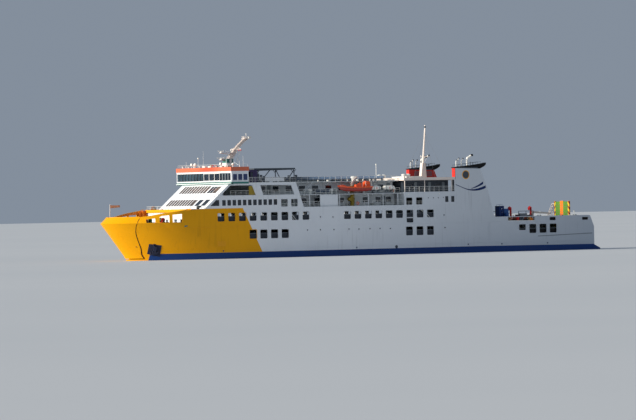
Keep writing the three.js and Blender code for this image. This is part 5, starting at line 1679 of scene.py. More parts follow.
# Funnels: x, z and thickness of points along the two swept stripes
STRIPES = [
    [(-2025, 1326, 9), (-2133, 1286, 10), (-2250, 1244, 12), (-2350, 1218, 17), (-2480, 1212, 27),
     (-2605, 1230, 38), (-2700, 1256, 42), (-2742, 1272, 40)],
    [(-2404, 1240, 8), (-2480, 1262, 16), (-2560, 1290, 27), (-2640, 1326, 36), (-2684, 1350, 38)],
]
FUNNEL_DISC = (-2275, HALF_BEAM, 1510)
CASING_TOP = 1180
# z low and high of the doors between the funnels
CASING_DOOR = (606, 780)
CAP_SIDE = [
    (-2008, 1642.6), (-2616, 1626.4), (-2700, 1662), (-2752, 1696), (-2762, 1741), (-2700, 1726),
    (-2400, 1690), (-2008, 1658)]
CAP_SLOT = [(-2060, 1646), (-2560, 1634), (-2560, 1650), (-2060, 1652)]
PIPE_Y = 785
# Exhaust pipes: x, radius, height of the bend, height of the top, lean aft, look
PIPES = [
    (-2085, 9, 1775, 1800, 22, "fitting"),
    (-2130, 9, 1805, 1834, 30, "fitting"),
    (-2215, 10, 1795, 1828, 40, "fitting"),
    (-2350, 20, 1842, 1890, 125, "canister"),
]


def boat_ring(x, half, keel, gunwale, floor):
    """One section of the boat: a rounded V from gunwale to keel and up, then the well's inside."""
    outer = [(half * share ** 0.55, keel + (gunwale - keel) * share ** 1.8) for share in spread(0, 1, 6)]
    ring = [(x, BOAT_Y + a, z) for a, z in reversed(outer)]
    ring += [(x, BOAT_Y - a, z) for a, z in outer[1:]]
    inner = max(half - 12, 4)
    for a, z in ((-inner, gunwale), (-inner * 0.9, floor), (inner * 0.9, floor), (inner, gunwale)):
        ring.append((x, BOAT_Y + a, z))
    return ring


def rescue_boat():
    """The orange rescue boat: rounded hull with a tube along its gunwale, console, engine cover, slings."""
    kit = Kit()
    kit.loft([boat_ring(*station) for station in BOAT], "boat")
    side = [(x, BOAT_Y + half, gunwale) for x, half, _, gunwale, _ in BOAT]
    other = [(x, BOAT_Y - half, gunwale) for x, half, _, gunwale, _ in reversed(BOAT)]
    loop = smooth([*side, (655, BOAT_Y, 1330), *other], 3)
    widest = 86
    inside = [(p.x, min(max(p.y, BOAT_Y - widest), BOAT_Y + widest), p.z) for p in loop]
    kit.tube(inside, 12, "boat_bright", 8)
    kit.tube([(-92, BOAT_Y - 70, 1304), (-92, BOAT_Y + 70, 1304)], 12, "boat_bright", 8)
    for half, outline, look in BOAT_COVERS:
        kit.across(outline, BOAT_Y - half, BOAT_Y + half, look)
    kit.box(-46, 44, BOAT_Y - 46, BOAT_Y + 46, 1340, 1346, "boat")
    for half, outline, look in BOAT_CONSOLE:
        kit.across(outline, BOAT_Y - half, BOAT_Y + half, look)
    for x in (90, 330, 400):
        kit.box(x - 16, x + 16, BOAT_Y - 58, BOAT_Y + 58, 1304, 1314, "boat")
    for x in (-70, 60):
        hoop = ((-64, 1300), (-64, 1404), (64, 1404), (64, 1300))
        kit.tube([(x, BOAT_Y + a, z) for a, z in hoop], 3, "steel", 6)
    kit.box(-93, -70, BOAT_Y - 18, BOAT_Y + 18, 1232, 1300, "black")
    # Grab line in loops along the side
    for way in (-1, 1):
        line = []
        for i, x in enumerate(range(-60, 480, 30)):
            narrow = 1 if x < 430 else 0.78
            line.append((x, BOAT_Y + way * 88 * narrow, 1296 - 12 * (i % 2)))
        kit.tube(line, 1.8, "rope", 5)
    for x in (20, 470):
        kit.tube([(x, BOAT_Y - 70, 1312), (132, BOAT_Y - 5, 1424), (x, BOAT_Y + 70, 1312)], 1.6, "rope", 5)
    kit.done("rescue_boat_shell", slot="boat_orange", stands_for=("rescue_boat",))


def davit_fittings():
    """The boat's chocks and rail, and the winch, foot and ladder rails of the davit's post."""
    kit = Kit()
    for x in (80, 430):
        kit.box(x - 12, x + 12, 715, 798, PROMENADE, 1200, "grey")
        for y in (723, 791):
            kit.across(square(x - 10, x + 10, 1198, 1238), y - 4, y + 4, "grey")
    kit.tube([(640, 700, 1200), (-600, 700, 1200)], 4, "fitting", 6)
    kit.turned([(0, 48), (10, 48), (14, 38), (60, 36)], (DAVIT_X, DAVIT_Y, HOUSE_FLOOR), UP, "olive", 18)
    winch = [(-30, 18), (-30, 30), (-24, 30), (-24, 20), (24, 20), (24, 30), (30, 30), (30, 18)]
    kit.turned(winch, (DAVIT_X + 60, DAVIT_Y, 1080), PORT, "olive", 16)
    kit.box(276, 300, 600, 670, 1040, 1120, "olive")
    for x in (222, 278):
        kit.across(square(x - 3, x + 3, 1000, 1290), 668, 674, "olive")
    kit.done("davit_fittings", slot="davit_olive")


def davit():
    """The davit's tapering jib with its sheave, hook and fall."""
    kit = Kit()
    kit.turned([(0, 36), (10, 36), (14, 28), (30, 26)], (DAVIT_X, DAVIT_Y, 1336), UP, "mast", 18)
    rings = []
    for x, z, half, deep in JIB:
        rings.append([(x + a * deep * 0.7, DAVIT_Y + b * half, z + a * deep * 0.7) for a, b in CORNERS])
    kit.loft(rings, "mast")
    kit.turned([(-8, 14), (-6, 10), (6, 10), (8, 14)], (136, DAVIT_Y, 1497), PORT, "steel", 14)
    kit.post(132, DAVIT_Y, 1490, 1432, 2, "steel", 6)
    kit.turned([(0, 3), (6, 8), (16, 8), (22, 3)], (132, DAVIT_Y, 1412), UP, "steel", 10)
    kit.tube([(268, 622, 1362), (178, 626, 1448)], 5, "steel", 8)
    kit.done("davit_jib", "davit", "mast_white", stands_for=("davit_arm",))


def rafts():
    """Life raft canisters with domed ends, bands and lashings, on their cradles."""
    kit = Kit()
    for middle, length in ((-224, 220), (-524, 260)):
        half = length / 2
        end = [(half, 4), (half - 4, 20), (half - 14, 33), (half - 32, 40), (6, 41), (4, 37)]
        profile = [(-along, radius) for along, radius in end] + end[::-1]
        kit.turned(profile, (middle, RAFT_Y, RAFT_Z), AHEAD, "canister", 24)
        for x in (middle - half * 0.55, middle + half * 0.55):
            kit.turned([(-5, 41), (-5, 42), (5, 42), (5, 41)], (x, RAFT_Y, RAFT_Z), AHEAD, "grey", 24)
        for x in (middle - 60, middle + 60):
            cheek = square(x - 8, x + 8, RAFT_FOOT, 1262)
            kit.across(cheek, RAFT_Y - 34, RAFT_Y - 24, "grey")
            kit.across(cheek, RAFT_Y + 24, RAFT_Y + 34, "grey")
            kit.box(x - 8, x + 8, RAFT_Y - 34, RAFT_Y + 34, 1226, 1240, "grey")
            kit.box(x - 10, x + 10, RAFT_Y - 38, RAFT_Y + 38, 1196, 1204, "grey")
        kit.box(middle - 6, middle + 6, RAFT_Y + 39, RAFT_Y + 42, 1262, 1300, "red")
    kit.box(-590, -160, RAFT_Y - 38, RAFT_Y + 38, PROMENADE, 1198, "grey")
    kit.mirror()
    kit.done("raft_canisters", slot="raft_white", stands_for=("port_life_rafts", "starboard_life_rafts"))


def funnel_side(kit):
    """Stripes and disc on the funnel's outer face, with its doors and louvres."""
    for stripe in STRIPES:
        rings = []
        for p in smooth(stripe, 5):
            half = p.z * 0.62
            section = ((-1, -half), (1.4, -half), (1.4, half), (-1, half))
            rings.append([(p.x, HALF_BEAM + out, p.y + edge) for out, edge in section])
        kit.loft(rings, "navy")
    kit.turned([(-1, 86), (1.6, 86), (1.6, 72), (-1, 72)], FUNNEL_DISC, PORT, "yellow", 40)
    kit.turned([(-1, 73), (1.2, 73)], FUNNEL_DISC, PORT, "dark", 40)
    kit.across(rounded(-2160, -2090, 1190, 1300, 8), HALF_BEAM - 104, HALF_BEAM - 96, "grey")
    for z in spread(1510, 1600, 8):
        kit.across(square(-2560, -2140, z, z + 5), 728, 737, "grey")
    for x in (-2620, -2200):
        kit.across(rounded(x - 34, x + 34, 1190, 1330, 10), 729, 737, "white")
    kit.box(-2970, -2930, 760, 812, 690, 700, "white")


def funnel_inside(kit):
    """Ladder, door and pipe on the funnel's inner face."""
    kit.ladder((-2230, 724, 640), (-2230, 724, 1500), (34, 0, 0), "white", 34)
    kit.across(rounded(-2480, -2400, *CASING_DOOR, 12), 724, 731, "grey")
    kit.tube([(-2330, 720, 604), (-2330, 720, 1150), (-2330, 738, 1180)], 12, "white", 12)


def casing_side(kit):
    """Doors, louvres, rails, ventilator and pipe of one half of the casing between the funnels."""
    kit.across(rounded(-2240, -2160, *CASING_DOOR, 12), 418, 425, "grey")
    for low, high in ((840, 940), (1010, 1110)):
        kit.across(rounded(-2500, -2340, low, high, 8), 418, 424, "white")
        for z in spread(low + 12, high - 12, 6):
            kit.box(-2492, -2348, 423, 428, z - 2, z + 2, "grey")
        kit.slab(cross_plane, rounded(130, 330, low, high, 8), -2565, -2558, "white")
        for z in spread(low + 12, high - 12, 6):
            kit.box(-2569, -2564, 138, 322, z - 2, z + 2, "grey")
    kit.slab(cross_plane, rounded(190, 270, *CASING_DOOR, 12), -2567, -2559, "blue")
    for x, y in ((-2090, 410), (-2550, 10)):
        kit.rail([(-2550, 410, CASING_TOP), (x, y, CASING_TOP)], 90, 120, 2)
    vent(kit, (-2440, 240, CASING_TOP), 40, 50, 60, 84, 100, 30)
    kit.tube([(-2572, 60, 604), (-2572, 60, 1172), (-2550, 60, 1196)], 14, "white", 12)


def funnel_marks():
    """What is on the funnels' faces and on the casing between them."""
    kit = Kit()
    funnel_side(kit)
    funnel_inside(kit)
    casing_side(kit)
    kit.mirror()
    kit.ladder((-2578, 0, 604), (-2578, 0, 1270), (0, 24, 0), "white", 36)
    kit.box(-2300, -2140, -150, 150, CASING_TOP, CASING_TOP + 42, "grey", 20)
    kit.done("funnel_marks")


def funnel_tops():
    """The sooty caps with their exhaust pipes and low rails."""
    kit = Kit()
    kit.across(CAP_SIDE, 730, 836, "black")
    kit.across(grown(CAP_SLOT, 3), 729, 836.6, "dark")
    for x, radius, bend, top, lean, look in PIPES:
        way = [(0, 1650), (0, bend - 20), (0.3, bend + 6), (0.75, top - 6), (1, top)]
        points = smooth([(x - lean * share, PIPE_Y, z) for share, z in way], 4)
        kit.tube(points, radius, look, 14)
        tip = Vector((x - lean, PIPE_Y, top))
        ahead = (tip - points[-4]).normalized()
        kit.tube([tip - ahead * (radius * 2.2), tip + ahead * 4], radius + 1.5, "black", 14)
        foot = (x, PIPE_Y, 1656 + (-2008 - x) * 0.085)
        kit.turned([(0, radius + 8), (6, radius + 8), (8, radius + 2)], foot, UP, "black", 16)
    for x, top in ((-2440, 1760), (-2500, 1752)):
        kit.post(x, 760, 1680, top, 7, "dark", 8)
    for y in (738, 830):
        kit.tube([(-2030, y, 1700), (-2640, y, 1760)], 2.4, "dark", 5)
    for x in spread(-2040, -2630, 6):
        for y in (738, 830):
            kit.post(x, y, 1650, 1700 + (-2030 - x) * 0.098, 2, "dark", 4)
    kit.mirror()
    kit.done("funnel_tops", slot="dark_paint", stands_for=("port_funnel_cap", "starboard_funnel_cap"))


def aft_mast():
    """The tall aft mast's lamps, rungs, bracket and stays."""
    kit = Kit()
    for z in (1980, 2140, 2300):
        kit.turned([(-3, 18), (3, 18)], (-1895 - (z - 1980) * 0.03, 0, z), UP, "mast", 14)
    for z in spread(1800, 2380, 26):
        x = -1853 - (z - 1758) * 0.0953
        kit.tube([(x + 10, -14, z), (x + 26, -14, z), (x + 26, 14, z), (x + 10, 14, z)], 1.6, "fitting", 4)
    kit.turned([(0, 13), (8, 16), (34, 16), (44, 6)], (-1912, 0, 2440), UP, "dark", 14)
    kit.turned([(0, 8), (10, 12), (26, 12), (34, 5)], (-1996, 0, 1890), UP, "dark", 12)
    kit.turned([(0, 8), (8, 11), (22, 11), (28, 4)], (-1960, 0, 1890), UP, "lamp", 12)
    for way in (-1, 1):
        for foot_x in (-1740, -2010):
            kit.tube([(-1900, way * 6, 2340), (foot_x, way * 560, 1474)], 1.3, "steel", 4)
        kit.tube([(-1878, way * 16, 1780), (-1878, way * 120, 1880)], 2, "mast", 5)
    kit.tube([(-1880, -120, 1880), (-1880, 120, 1880)], 3, "mast", 6)
    for y in (-112, 112):
        kit.turned([(0, 6), (6, 9), (20, 9), (26, 3)], (-1880, y, 1884), UP, "lamp", 10)
    kit.done("aft_mast_fittings", slot="mast_white")


# After deck and stern
RECESS_Y, RECESS_FLOOR = 720, 580
# Reels in the side recess: x, z, half length, hub, rim, core, half lap and girth of the rope, look
RECESS_REELS = [(-3470, 650, 60, 34, 44, 30, 24, 35, "red"), (-3740, 644, 50, 30, 42, 27, 20, 33, "dark")]
# Boxes in the side recess: x, look, top
RECESS_BOXES = [
    (-3300, "dark", 670), (-3560, "red", 684), (-3620, "dark", 690), (-3850, "bow_orange", 676),
    (-3890, "bow_orange", 640)]
# Housings by the stair house and inboard of the recess, and the hatches on the deck:
# x, y and z, each from and to, the look and a corner's radius
STAIR_BOXES = [
    (-3486, -3368, 440, 556, 580, 822, "blue", 22), (-3478, -3370, 448, 548, 822, 836, "blue", 30),
    (-3430, -3357, 575, 640, 682, 750, "blue", 10), (-3425, -3362, 580, 635, 580, 683, "grey")]
WINCH_HOUSINGS = [
    (-3890, -3720, 530, 610, 580, 738, "grey", 10), (-3700, -3640, 540, 600, 580, 716, "dark", 8),
    (-4010, -3930, 540, 600, 580, 704, "dark", 8), (-4040, -3680, 600, 608, 776, 786, "dark")]
HATCHES = [
    (-3700, -3420, -180, 180, 580, 614, "deck_grey", 16), (-3690, -3430, -170, 170, 614, 622, "grey", 14),
    (-4420, -4200, -150, 150, 580, 640, "grey", 16)]
AFT_BOLLARDS = [(-4120, 700), (-4700, 690), (-5060, 600), (-4420, 700)]
# Coiled ropes on the after deck: x, y, look
COILS = [(-4620, 620, "rope"), (-4030, 560, "rope_green"), (-4300, 590, "rope"), (-4960, 420, "rope")]
FENDER_X = -5340
# Deck crane: its boom's pivot and slope, and the crutch that it lies in
CRANE_X, CRANE_Y, PIVOT_Z = -4226, 300, 759
BOOM_LENGTH, BOOM_DROP = 455, 31
CRUTCH_FORE, CRUTCH_MIDDLE, CRUTCH_AFT, CRUTCH_TOP = -4556, -4648, -4748, (-4744, 926)
REST_X = -4630
# Underwater gear
PROPELLER_X = -4560
BLADE_SECTION = ((-0.5, 0), (-0.2, 0.9), (0.2, 1), (0.5, 0.1), (0.2, -0.6), (-0.2, -0.6))
RUDDER_SIDE = [(0, 0.5), (0.08, 9), (0.22, 16.5), (0.38, 18.5), (0.7, 9), (1, 1)]
COWLS_X, COWLS_Y = (-3565, -4050), 500
ANCHOR_PARTS = [
    [(4600, 270), (4624, 270), (4604, 130), (4580, 130)],
    [(4540, 160), (4580, 100), (4640, 96), (4660, 172), (4630, 128), (4590, 124), (4562, 150)],
]


def stair_house():
    """The navy stair house: door, hand wheel, hooded light and rain strip."""
    kit = Kit()
    leaf = rounded(-3326, -3274, 604, 796, 10)
    kit.across(rounded(-3330, -3270, 600, 800, 12), 558, 564, "blue", leaf)
    kit.across(leaf, 559, 562, "navy")
    for z in (640, 760):
        kit.tube([(-3322, 566, z), (-3300, 566, z)], 3, "steel", 6)
    kit.box(-3372, -3237, 424, 566, 884, 891, "navy", 10)
    kit.turned([(0, 8), (12, 8), (20, 3)], (-3300, 566, 834), PORT, "lamp", 10)
    kit.boxes(STAIR_BOXES)
    for x in (-3340, -3270):
        kit.tube([(x, y, z) for y, z in ((440, 891), (440, 918), (540, 918), (540, 891))], 2.4, "blue", 5)
    kit.done("stair_house_fittings", slot="house_blue")


def recess_gear():
    """Red, brown and green mooring gear behind the side recess, above its sloping light ledge."""
    kit = Kit()
    floor = RECESS_FLOOR
    kit.across([(-3262, 588), (-3905, 580), (-3905, 596), (-3262, 604)], 790, 834, "fitting")
    for x, z, half, hub, rim, core, lap, girth, look in RECESS_REELS:
        end = [(half, hub), (half - 4, rim), (half - 10, rim), (half - 10, core)]
        reel = [(-along, radius) for along, radius in end] + end[::-1]
        kit.turned(reel, (x, RECESS_Y, z), AHEAD, look, 18)
        wide, low = half - 12, core + 1
        rope = [(-wide, low), (-lap, girth), (0, low), (lap, girth), (wide, low)]
        kit.turned(rope, (x, RECESS_Y, z), AHEAD, "brown", 18)
    for x, *_, look in RECESS_REELS:
        for cheek in (x - 66, x + 66):
            kit.across(square(cheek - 5, cheek + 5, floor, 668), RECESS_Y - 30, RECESS_Y + 30, look)
        kit.box(x - 74, x + 74, RECESS_Y - 36, RECESS_Y + 36, floor, 594, look)
    for x, look, top in RECESS_BOXES:
        kit.box(x - 22, x + 22, 716, 766, floor, top, look, 8)
    for x in (-3350, -3810):
        kit.ring((x, 770, 640), (0.3, 1, 0), 24, 7, "rope", 16)
    kit.box(-3880, -3290, 630, 690, floor, 672, "black")
    # Winch frame and housing inboard of the recess
    kit.boxes(WINCH_HOUSINGS)
    for x in (-4036, -3860, -3684):
        kit.box(x - 4, x + 4, 600, 608, floor, 777, "dark")
    kit.mirror()
    kit.done("recess_gear", slot="vent_red")


def after_deck():
    """Bollards, winches, hatch, rails, coiled ropes and lamps on the after mooring deck."""
    kit = Kit()
    z = AFT_DECK
    for x, y in AFT_BOLLARDS:
        bollards(kit, x, y, z)
    drum(kit, -4480, 520, z, 58, "green", "rope")
    drum(kit, -3960, 380, z, 50, "green", "rope_green")
    kit.turned([(0, 34), (20, 26), (44, 26), (58, 36), (66, 34)], (-4920, 560, z), UP, "grey", 18)
    for x, y, look in COILS:
        for level, radius in ((5, 40), (5, 30), (13, 36), (21, 33)):
            kit.ring((x, y, z + level), UP, radius, 5, look, 20)
    kit.side_rail(-2990, -3230, 560, z, 96, 110)
    top = AFT_RAIL
    kit.tube([(x, skin(x, 670) - 6, top + 1) for x in spread(-2985, -5230, 14)], 7, "white", 8)
    for x in (-4020, -4550, -4880):
        y = skin(x, 640) - 8
        opening = rounded(x - 28, x + 28, top + 6, top + 18, 6)
        kit.across(rounded(x - 40, x + 40, top, top + 24, 10), y - 12, y + 8, "grey", opening)
    for x in (-4180, -5010):
        kit.post(x, 640, z, 760, 5, "fitting", 8)
        kit.box(x - 14, x + 14, 620, 650, 758, 768, "lamp", 4)
    for x in spread(-3400, -5000, 7):
        kit.tube([(x, 790, z), (x, 744, z), (x, 790, 668)], 4, "white", 5)
    kit.rail([(-5100, 300, z), (-5100, 560, z)], 110, 90, 3)
    kit.mirror()
    kit.boxes(HATCHES)
    for y in (-60, 60):
        kit.tube([(-4400, y, z + 62), (-4220, y, z + 62)], 4, "steel", 6)
    kit.done("after_deck_gear", slot="deck_green")


def stern():
    """Transom: fenders, the edges of the ramp's gate, a lamp, a plain ring, the boot-top's ledge, steps."""
    kit = Kit()
    for z in (230, 330, 430):
        kit.tube([(-5344, 330, z), (-5344, 800, z)], 7, "rubber", 8)
    for y in (300, 560, 800):
        kit.box(-5346, -5338, y - 7, y + 7, 200, 500, "white")
    kit.tube([(-5330, 288, 196), (-5318, 288, 520), (-5236, 288, 690)], 6, "yellow", 8)
    for y in spread(330, 760, 4):
        kit.ring((FENDER_X, y, 270), AHEAD, 26, 9, "rubber", 18)
    kit.turned([(-4, 16), (6, 16), (12, 8)], (-5332, 700, 470), (-1, 0, 0), "lamp", 14)
    kit.turned([(-5, 24), (4, 24), (4, 16), (-5, 16)], (FENDER_X, 470, 480), (-1, 0, 0), "white", 18)
    kit.tube([(-5500, y, 52) for y in (40, 300, 600)], 3, "navy", 6)
    kit.ladder((-5346, 640, 110), (-5346, 640, 190), (0, 20, 0), "white", 20)
    kit.mirror()
    kit.done("stern_trim")


def crane_post():
    """Foot, winch, cabinet and pipe on the deck crane's post."""
    kit = Kit()
    kit.turned([(0, 46), (10, 46), (12, 36), (34, 34)], (CRANE_X, CRANE_Y, AFT_DECK), UP, "mast", 20)
    winch = [(-26, 12), (-26, 22), (-21, 22), (-21, 14), (21, 14), (21, 22), (26, 22), (26, 12)]
    kit.turned(winch, (CRANE_X + 36, CRANE_Y, 700), PORT, "grey", 16)
    kit.box(-4204, -4188, CRANE_Y - 24, CRANE_Y + 24, 670, 730, "mast")
    kit.tube([(-4200, 332, 600), (-4200, 336, 730)], 3, "steel", 6)
    kit.done("crane_post_fittings", slot="mast_white")


def crane_boom():
    """The boom with its pivot, sheave, wire and straps."""
    kit = Kit()
    rings = []
    for share in (0, 0.1, 0.55, 1):
        x, z = CRANE_X - BOOM_LENGTH * share, PIVOT_Z - BOOM_DROP * share
        half, deep = 18 - 6 * share, 20 - 6 * share
        rings.append([(x, CRANE_Y + a * half, z + b * deep) for a, b in CORNERS])
    kit.loft(rings, "mast")
    kit.turned([(-13, 13), (13, 13)], (CRANE_X, CRANE_Y, PIVOT_Z), PORT, "steel", 18)
    kit.turned([(-6, 10), (-5, 7), (5, 7), (6, 10)], (-4670, CRANE_Y, 729), PORT, "steel", 14)
    kit.post(-4672, CRANE_Y, 728, 722, 3, "steel", 6)
    kit.tube([(-4260, 311, 766), (-4640, 308, 741)], 1.6, "steel", 5)
    for share in spread(0.15, 0.9, 6):
        x, z = CRANE_X - BOOM_LENGTH * share, PIVOT_Z - BOOM_DROP * share
        kit.box(x - 4, x + 4, CRANE_Y - 13, CRANE_Y + 13, z - 13, z - 9, "mast")
    kit.done("crane_boom_shell", "crane_boom", "mast_white", stands_for=("deck_crane_boom",))


def crutch():
    """The lattice crutch that the boom lies in."""
    kit = Kit()
    look = "mast"
    near, far = CRANE_Y - 28, CRANE_Y + 28

    def fore_leg(z):
        return CRUTCH_FORE - (z - AFT_DECK) * 0.5434
    for y in (near, far):
        top = (CRUTCH_TOP[0], y, CRUTCH_TOP[1])
        for foot, radius in ((CRUTCH_FORE, 5), (CRUTCH_MIDDLE, 3.4), (CRUTCH_AFT, 5)):
            kit.tube([(foot, y, AFT_DECK), top], radius, look, 6)
        for z in spread(620, 900, 6):
            fore = (fore_leg(z), y, z)
            kit.tube([fore, (CRUTCH_AFT + (z - AFT_DECK) * 0.01, y, z)], 2.6, look, 5)
            kit.tube([fore, (CRUTCH_AFT, y, z - 44)], 2, look, 4)
    for z in spread(600, 920, 7):
        kit.tube([(fore_leg(z), near, z), (fore_leg(z), far, z)], 3, look, 5)
    kit.tube([(REST_X, near, 705), (REST_X, far, 705)], 7, look, 8)
    for y in (270, 330):
        kit.post(REST_X, y, 700, 748, 4, look, 6)
    kit.done("crutch_frame", slot="mast_white", stands_for=("boom_crutch",))


def stern_ramp_trim():
    """Ribs on the outer face of the stern ramp, its lifting rings, edge blocks and treads."""
    kit = Kit()
    x = STERN_RAMP_X - 12
    for y in spread(-200, 200, 5):
        kit.box(x - 9, x + 0.5, y - 4, y + 4, 400, 940, "ramp")
    for z in spread(410, 930, 7):
        kit.box(x - 6, x + 0.5, -250, 250, z - 4, z + 4, "ramp")
    for y in (-226, 226):
        kit.ring((x - 6, y, 900), PORT, 12, 3, "steel", 12)
        kit.box(x - 8, x + 26, y - 8, y + 8, 955, 966, "yellow")
    for z in spread(300, 900, 14):
        kit.box(x + 23, x + 27, -236, 236, z - 2, z + 2, "steel")
    kit.done("stern_ramp_ribs", "stern_ramp_leaf", "ramp_green")


def bow_ramp_trim():
    """Ribs and treads of the bow ramp."""
    kit = Kit()
    x = 4592
    for y in spread(-180, 180, 4):
        kit.box(4629.5, 4634, y - 4, y + 4, 340, 655, "grey")
    for z in spread(250, 640, 10):
        kit.box(x - 3, x + 0.5, -232, 232, z - 2, z + 2, "steel")
    kit.done("bow_ramp_ribs", "bow_ramp_leaf", "deck_grey")


def screw(name, side):
    """A propeller with four twisted blades."""
    kit = Kit()
    centre = Vector((PROPELLER_X, side * SHAFT_Y, SHAFT_Z))
    hub = [(-42, 4), (-36, 14), (-20, 21), (16, 24), (40, 22), (42, 12.3), (100, 12.3)]
    kit.turned(hub, centre, AHEAD, "bronze", 20)
    for blade in range(4):
        turn = blade * math.tau / 4 + math.tau / 8
        out = Vector((0, math.cos(turn), math.sin(turn)))
        along = Vector((0, -math.sin(turn), math.cos(turn)))
        rings = []
        for share in spread(0, 1, 8):
            radius = 18 + 103 * share
            chord = 26 + 46 * math.sin(math.pi * min(1, 0.12 + share * 0.86)) * (1 - 0.25 * share)
            pitch = side * (1.05 - 0.62 * share)
            thick = 5.5 * (1 - share) + 1.2
            lead = Vector((math.cos(pitch), 0, 0)) * 0.55 + along * math.sin(pitch + 0.5)
            lead.normalize()
            normal = lead.cross(out).normalized()
            middle = centre + out * radius + along * (12 * share ** 2 * side)
            rings.append([middle + lead * chord * a + normal * thick * b for a, b in BLADE_SECTION])
        kit.loft(rings, "bronze")
    kit.done(name + "_screw", "propeller_" + name, "bronze", stands_for=(name + "_propeller",))


def rudder(name, side):
    """A rudder blade on its stock, with zinc blocks."""
    kit = Kit()
    y = side * SHAFT_Y
    section = RUDDER_SIDE + [(a, -half) for a, half in reversed(RUDDER_SIDE)]
    rings = []
    for z, shrink in ((-404, 0.82), (-396, 0.94), (-300, 1), (-160, 1.02), (-141, 1)):
        fore, aft = -4728 - (1 - shrink) * 60, -4943 + (1 - shrink) * 120
        rings.append([(fore + (aft - fore) * a, y + half * shrink, z) for a, half in section])
    kit.loft(rings, "antifouling")
    kit.turned([(-150, 15.6), (-62, 15.6)], (RUDDER_X, y, 0), UP, "steel", 18)
    for z in (-200, -280, -350):
        for way in (-1, 1):
            kit.box(-4870, -4850, y + way * 16 - 2, y + way * 16 + 2, z - 10, z + 10, "steel")
    kit.done(name + "_rudder_blade", "rudder_" + name, "antifouling", stands_for=(name + "_rudder",))


def running_gear():
    """Both screws and rudders."""
    for name, side in (("port", 1), ("starboard", -1)):
        screw(name, side)
        rudder(name, side)


def engine_tops():
    """Cylinder heads, covers and pipes on the two engines."""
    kit = Kit()
    for x in spread(-2010, -1520, 7):
        kit.turned([(0, 24), (16, 24), (20, 16)], (x, 220, 10), UP, "engine", 14)
        kit.box(x - 26, x + 26, 309, 314, -180, -90, "grey")
    kit.tube([(-2030, 150, 26), (-1500, 150, 26)], 13, "steel", 10)
    kit.tube([(-1500, 220, -100), (-1440, 220, -100)], 40, "engine", 18)
    kit.mirror()
    kit.done("engine_tops", slot="engine_grey")


def cowl_rims():
    """Mouths and collars of the two cowl ventilators."""
    kit = Kit()
    for x in COWLS_X:
        kit.turned([(0, 34), (6, 36), (8, 32)], (x + 40, COWLS_Y, 832), AHEAD, "red", 20)
        kit.turned([(0, 40), (12, 40), (18, 30), (30, 29)], (x, COWLS_Y, AFT_DECK), UP, "red", 20)
        kit.turned([(-3, 38), (3, 38)], (x, COWLS_Y, 740), UP, "red", 20)
    kit.done("cowl_rims", slot="vent_red")


def anchors():
    """The anchors' stocks and flukes on the bolsters, and the rim of their pipes."""
    kit = Kit()
    for outline in ANCHOR_PARTS:
        kit.loft([[(x, skin(x, z) + out, z) for x, z in outline] for out in (14, 26)], "bolster")
    rim = [(-6, 26), (10, 26), (14, 18), (2, 16), (-6, 16)]
    kit.turned(rim, (4618, skin(4618, 286) + 10, 286), (0.45, 1, 0.3), "bolster", 18)
    kit.mirror()
    kit.done("anchor_fittings", slot="anchor_navy")


# Every piece
for make in (
        make_hull, hull_trim, underwater_trim, car_decks, visor_trim, flagstaff, flag, forecastle, platform,
        front_wall, house_side, lounge_walls, benches, railings, canopy_gear, shelter, wheelhouse_trim,
        roof_gear, mast_hut, foremast, scanners, rescue_boat, davit_fittings, davit, rafts, funnel_marks,
        funnel_tops, aft_mast, stair_house, recess_gear, after_deck, stern, crane_post, crane_boom, crutch,
        stern_ramp_trim, bow_ramp_trim, running_gear, engine_tops, cowl_rims, anchors):
    make()


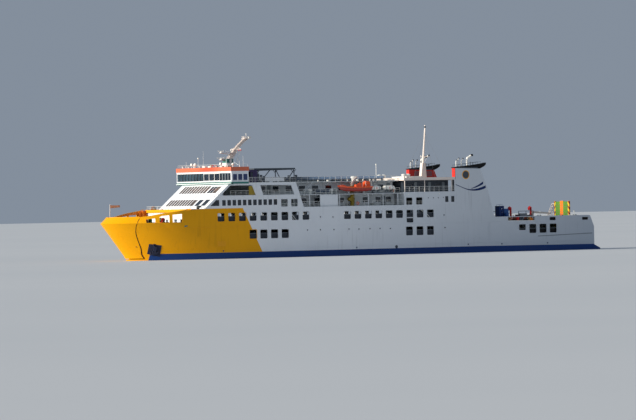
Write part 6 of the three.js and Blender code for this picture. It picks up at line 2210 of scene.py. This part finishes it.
# CAD nodes that keep their shape and get a finish
FINISHES = {
    "deck": ["car_deck", "upper_car_deck", "aft_mooring_deck", "forecastle_deck"],
    "deck_white": ["promenade_deck"],
    "top_deck": ["top_deck"],
    "deck_grey": ["bow_ramp", "bow_ramp_sill", "stern_ramp_sill"],
    "white": [
        "mooring_deck_front", "house_front", "port_house_side", "starboard_house_side", "aft_house",
        "machinery_casing"],
    "wall": ["lounge", "upper_lounge"],
    "floor": ["house_floor"],
    "yellow": ["visor_hinge_brackets", "bow_bulkhead"],
    "bridge": ["wheelhouse"],
    "roof": ["wheelhouse_roof"],
    "officers_painted_shade": ["officers_house"],
    "mast": [
        "aft_shelter_roof", "foremast", "lower_radar", "upper_radar", "davit_arm", "aft_mast",
        "deck_crane_post", "deck_crane_boom", "boom_crutch", "bow_flagstaff"],
    "funnel": ["port_funnel", "starboard_funnel"],
    "black": ["port_funnel_cap", "starboard_funnel_cap"],
    "dark": ["aft_shelter_house", "top_deck_canopy"],
    "boat": ["rescue_boat"],
    "olive": ["davit_post"],
    "canister": ["port_life_rafts", "starboard_life_rafts"],
    "ramp": ["stern_ramp"],
    "navy": ["stair_house"],
    "bolster": ["port_anchor", "starboard_anchor"],
    "red": ["fore_cowl_vent", "aft_cowl_vent"],
    "bronze": ["port_propeller", "starboard_propeller"],
    "antifouling": ["port_rudder", "starboard_rudder"],
    "engine": ["port_engine", "starboard_engine"],
    "flag": ["bow_flag"],
}
for look, names in FINISHES.items():
    for name in names:
        NODES[name].data.materials.clear()
        NODES[name].data.materials.append(LOOK[look])


# Stage: half width of the floor, and the lights' name, direction, strength, angle and colour
FLOOR_HALF = 600000
LIGHTS = [
    ("key", (1.0, -0.13, 0.3), 5.0, 12, (1.0, 0.93, 0.82)),
    ("fill", (0.35, 1.0, 0.6), 0.12, 60, (0.86, 0.92, 1.0)),
]


def make_stage():
    """The floor at the waterline, a pale sky, a key light and a soft fill light."""
    floor_look = Shader("pale_floor")
    tone = floor_look.ramp(floor_look.noise(0.06, 3), 0.3, 0.7)
    tone = floor_look.mix(tone, linear(206, 210, 214), linear(200, 205, 210))
    floor_look.done(tone, 0.85, floor_look.bump(floor_look.noise(3, 4), 0.05, 0.002))
    kit = Kit()
    outline = square(-FLOOR_HALF, FLOOR_HALF, -FLOOR_HALF, FLOOR_HALF)
    kit.mesh.faces.new([kit.mesh.verts.new(Vector((x, y, 0)) * MM) for x, y in outline])
    floor = loose(kit, "floor")
    floor.data.materials.append(floor_look.material)
    world = bpy.data.worlds.new("studio")
    world.use_nodes = True
    sky = world.node_tree.nodes["Background"]
    sky.inputs["Color"].default_value = linear(176, 190, 208)
    sky.inputs["Strength"].default_value = 0.53
    bpy.context.scene.world = world
    for name, direction, strength, angle, colour in LIGHTS:
        data = bpy.data.lights.new(name, "SUN")
        data.energy, data.angle, data.color = strength, math.radians(angle), colour
        lamp = bpy.data.objects.new(name, data)
        lamp.rotation_mode = "QUATERNION"
        lamp.rotation_quaternion = Vector(direction).to_track_quat("Z", "Y")
        bpy.context.collection.objects.link(lamp)
    bpy.context.scene.view_settings.view_transform = "Standard"


make_stage()
